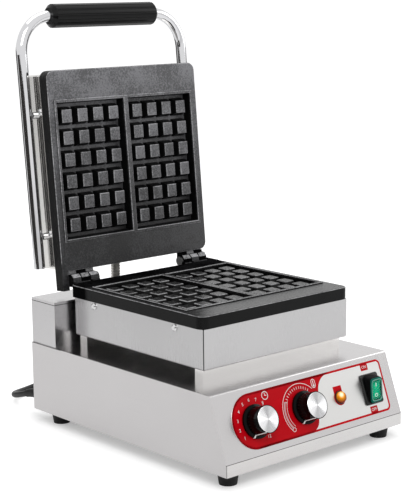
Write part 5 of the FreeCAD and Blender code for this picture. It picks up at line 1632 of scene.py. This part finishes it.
@dataclass
class WaffleIron:
    """The whole machine: which finish each solid takes, and the pieces added to it."""

    sizes: IronSizes = field(default_factory=IronSizes)

    def dress_solids(self) -> None:
        """Gives every solid of the part its finish."""
        for finish, names in (*self.sheets(), *self.metals(), *self.mouldings(), *self.controls()):
            material = finish.make()
            for name in names.split():
                Bench.dress(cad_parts[name], material)

    def sheets(self) -> list[tuple[BrushedSheet, str]]:
        """Returns the sheet finishes with the names of the solids that take them."""
        seams = SheetSeams(self.sizes)
        base = seams.base()
        along, across = (1400.0, 14.0, 1400.0), (14.0, 1400.0, 1400.0)
        return [
            (BrushedSheet("base_sheet", (0.60, 0.586, 0.588), (0.55, 0.536, 0.538),
                          grain=along, seams=base), "base_shell"),
            (BrushedSheet("pan_sheet", (0.68, 0.67, 0.665), (0.62, 0.61, 0.605),
                          grain=across, seams=base), "base_pan"),
            (BrushedSheet("rear_sheet", (0.58, 0.572, 0.578), (0.535, 0.527, 0.533), roughness=0.24,
                          grain=along, seams=(*base, seams.cap())), "rear_box rear_box_cap"),
            (BrushedSheet("cover_sheet", (0.76, 0.75, 0.73), (0.69, 0.68, 0.66), roughness=0.1,
                          spread=0.03, grain=(3600.0, 3600.0, 40.0), depth=0.000002),
             "upper_cover"),
            # Painted light: the neck's steel is much paler than the other sheets to offset the
            # shade under the housing.
            (BrushedSheet("neck_sheet", (0.92, 0.91, 0.895), (0.86, 0.85, 0.835),
                          grain=(12.0, 1400.0, 1400.0)), "neck_front neck_rear"),
            (BrushedSheet("housing_sheet", (0.53, 0.525, 0.53), (0.5, 0.495, 0.5), roughness=0.27,
                          spread=0.015, grain=(3600.0, 3600.0, 60.0), depth=0.000002,
                          seams=(seams.fold(),)), "lower_housing"),
            (BrushedSheet("film_silver", (0.68, 0.675, 0.665), (0.64, 0.635, 0.625), roughness=0.3),
             "control_overlay"),
            (BrushedSheet("heater_steel", (0.35, 0.33, 0.31), (0.25, 0.22, 0.2), roughness=0.4),
             "lower_heater upper_heater lower_heater_clamp upper_heater_clamp thermostat_bulb "
             "wiring_conduit"),
        ]

    def metals(self) -> list[tuple[CastPlate | PolishedTube, str]]:
        """Returns the castings' and the bright metals' finishes with the names of their solids."""
        return [
            # Edge colours on both castings are painted highlights.
            (CastPlate("lower_casting", self.sizes.lower_plate(), peg_top=(0.006, 0.006, 0.0062),
                       edge=(0.24, 0.24, 0.245), face=(0.006, 0.006, 0.0064),
                       roughness=(0.16, 0.26), gloss=(0.12, 0.16), relief=0.2, hinge_gloss=0.0),
             "lower_plate"),
            # Painted sheen makes this plate's flats and peg tops paler towards its far end.
            (CastPlate("upper_casting", self.sizes.lid_plate(), peg_top=(0.05, 0.05, 0.053),
                       edge=(0.3, 0.3, 0.31), far_gain=(6.5, 3.4)), "upper_plate"),
            (PolishedTube("handle_polish", (0.72, 0.72, 0.735)), "handle_tube handle_spacers"),
            (PolishedTube("screw_steel", (0.7, 0.7, 0.7), roughness=0.18),
             "foot_screws housing_screws cover_screws lower_clamp_screws upper_clamp_screws "
             "handle_screws conduit_nut_lower conduit_nut_upper bushing_nuts timer_shaft "
             "thermostat_shaft"),
            (PolishedTube("pin_steel", (0.06, 0.06, 0.06), roughness=0.3),
             "hinge_pin_left hinge_pin_right"),
            (PolishedTube("plated_brass", (0.72, 0.66, 0.46), roughness=0.16),
             "plug_pins switch_blades"),
        ]

    @staticmethod
    def mouldings() -> list[tuple[Moulding | Fibre, str]]:
        """Returns the finishes of plastics, rubber and wool with the names of their solids."""
        black, lead = (0.0025, 0.0025, 0.0027), (0.012, 0.012, 0.012)
        return [
            (Moulding("grip_moulding", black, roughness=0.22, grain=1500.0, gloss=0.2),
             "handle_grip"),
            (Moulding("foot_rubber", (0.005, 0.005, 0.005), roughness=0.5, grain=900.0,
                      depth=0.0001, gloss=0.25),
             "foot_front_left foot_front_right foot_rear_left foot_rear_right cord_gland "
             "cord_gland_nut"),
            (Moulding("knob_moulding", (0.0015, 0.0015, 0.0017), roughness=0.06, grain=2200.0,
                      depth=0.000005, gloss=0.08), "timer_knob thermostat_knob"),
            (Moulding("case_moulding", (0.02, 0.02, 0.02), roughness=0.45),
             "timer thermostat indicator_holder"),
            (Moulding("switch_moulding", black, roughness=0.28, gloss=0.35),
             "switch_frame switch_boot"),
            (Moulding("terminal_ivory", (0.62, 0.58, 0.46), roughness=0.5), "terminal_block"),
            (Moulding("plug_moulding", lead, roughness=0.42, grain=900.0, depth=0.00008),
             "plug_body cord_tie"),
            (Moulding("lead_jacket_solid", lead, roughness=0.42), "cord_run cord_coil cord_tail"),
            (Fibre("mineral_fibre"), "lower_wool upper_wool"),
        ]

    def controls(self) -> list[tuple[SpunFace | LampLens | RockerGlow, str]]:
        """Returns the finishes that are centred on a control, with the names of their solids."""
        timer, thermostat, lamp = (
            self.sizes.control(across) @ METRES_TO_MM
            for across in (self.sizes.timer_x, self.sizes.thermostat_x, self.sizes.lamp_x)
        )
        rocker = SealedSwitch(self.sizes).rest() @ METRES_TO_MM
        return [
            (SpunFace("timer_spun", timer), "timer_knob_cap"),
            (SpunFace("thermostat_spun", thermostat), "thermostat_knob_cap"),
            (LampLens("amber_lens", lamp), "indicator_lens"),
            (RockerGlow("rocker_green", rocker), "switch_rocker"),
        ]

    def build_pieces(self) -> None:
        """Adds the lead, the print, the pointers, the rocker's marks and boot, and the conduit."""
        sizes = self.sizes
        jacket = Moulding("lead_jacket", (0.006, 0.006, 0.0065), 0.42, 900.0, 0.00006, gloss=0.3)
        MainsLead().build(jacket.make())
        red = Moulding("ink_red", (0.55, 0.001, 0.007), 0.32, 1200.0, 0.00001, gloss=0.08).make()
        white = Moulding("ink_white", (0.86, 0.85, 0.84), 0.35, 1200.0, 0.00002).make()
        pale = Moulding("ink_pale", (0.62, 0.36, 0.36), 0.35, 1200.0, 0.00002).make()
        PanelPrint(sizes).build(red, white, pale)
        paint = Moulding("pointer_paint", (0.85, 0.85, 0.84), 0.3, 1200.0, 0.00002).make()
        ControlKnob(sizes, "timer_pointer", sizes.timer_x, Body.TIMER).build(paint)
        ControlKnob(sizes, "thermostat_pointer", sizes.thermostat_x, Body.THERMOSTAT).build(paint)
        switch = SealedSwitch(sizes)
        clear = BootMoulding("boot_clear", switch.rest() @ METRES_TO_MM, switch.skin)
        switch.build(clear.make(), white)
        metal = BrushedSheet("conduit_metal", (0.55, 0.54, 0.52), (0.4, 0.39, 0.37), roughness=0.3)
        LidConduit().build(metal.make())


def main() -> None:
    """Builds the scene in order."""
    logging.basicConfig(level=logging.INFO, format="%(name)s: %(message)s")
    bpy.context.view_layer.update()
    bpy.context.scene.view_settings.view_transform = "Standard"
    Camera().build()
    iron = WaffleIron()
    iron.build_pieces()
    iron.dress_solids()
    Studio().build()
    Bench.deselect()


if __name__ == "__main__":
    main()
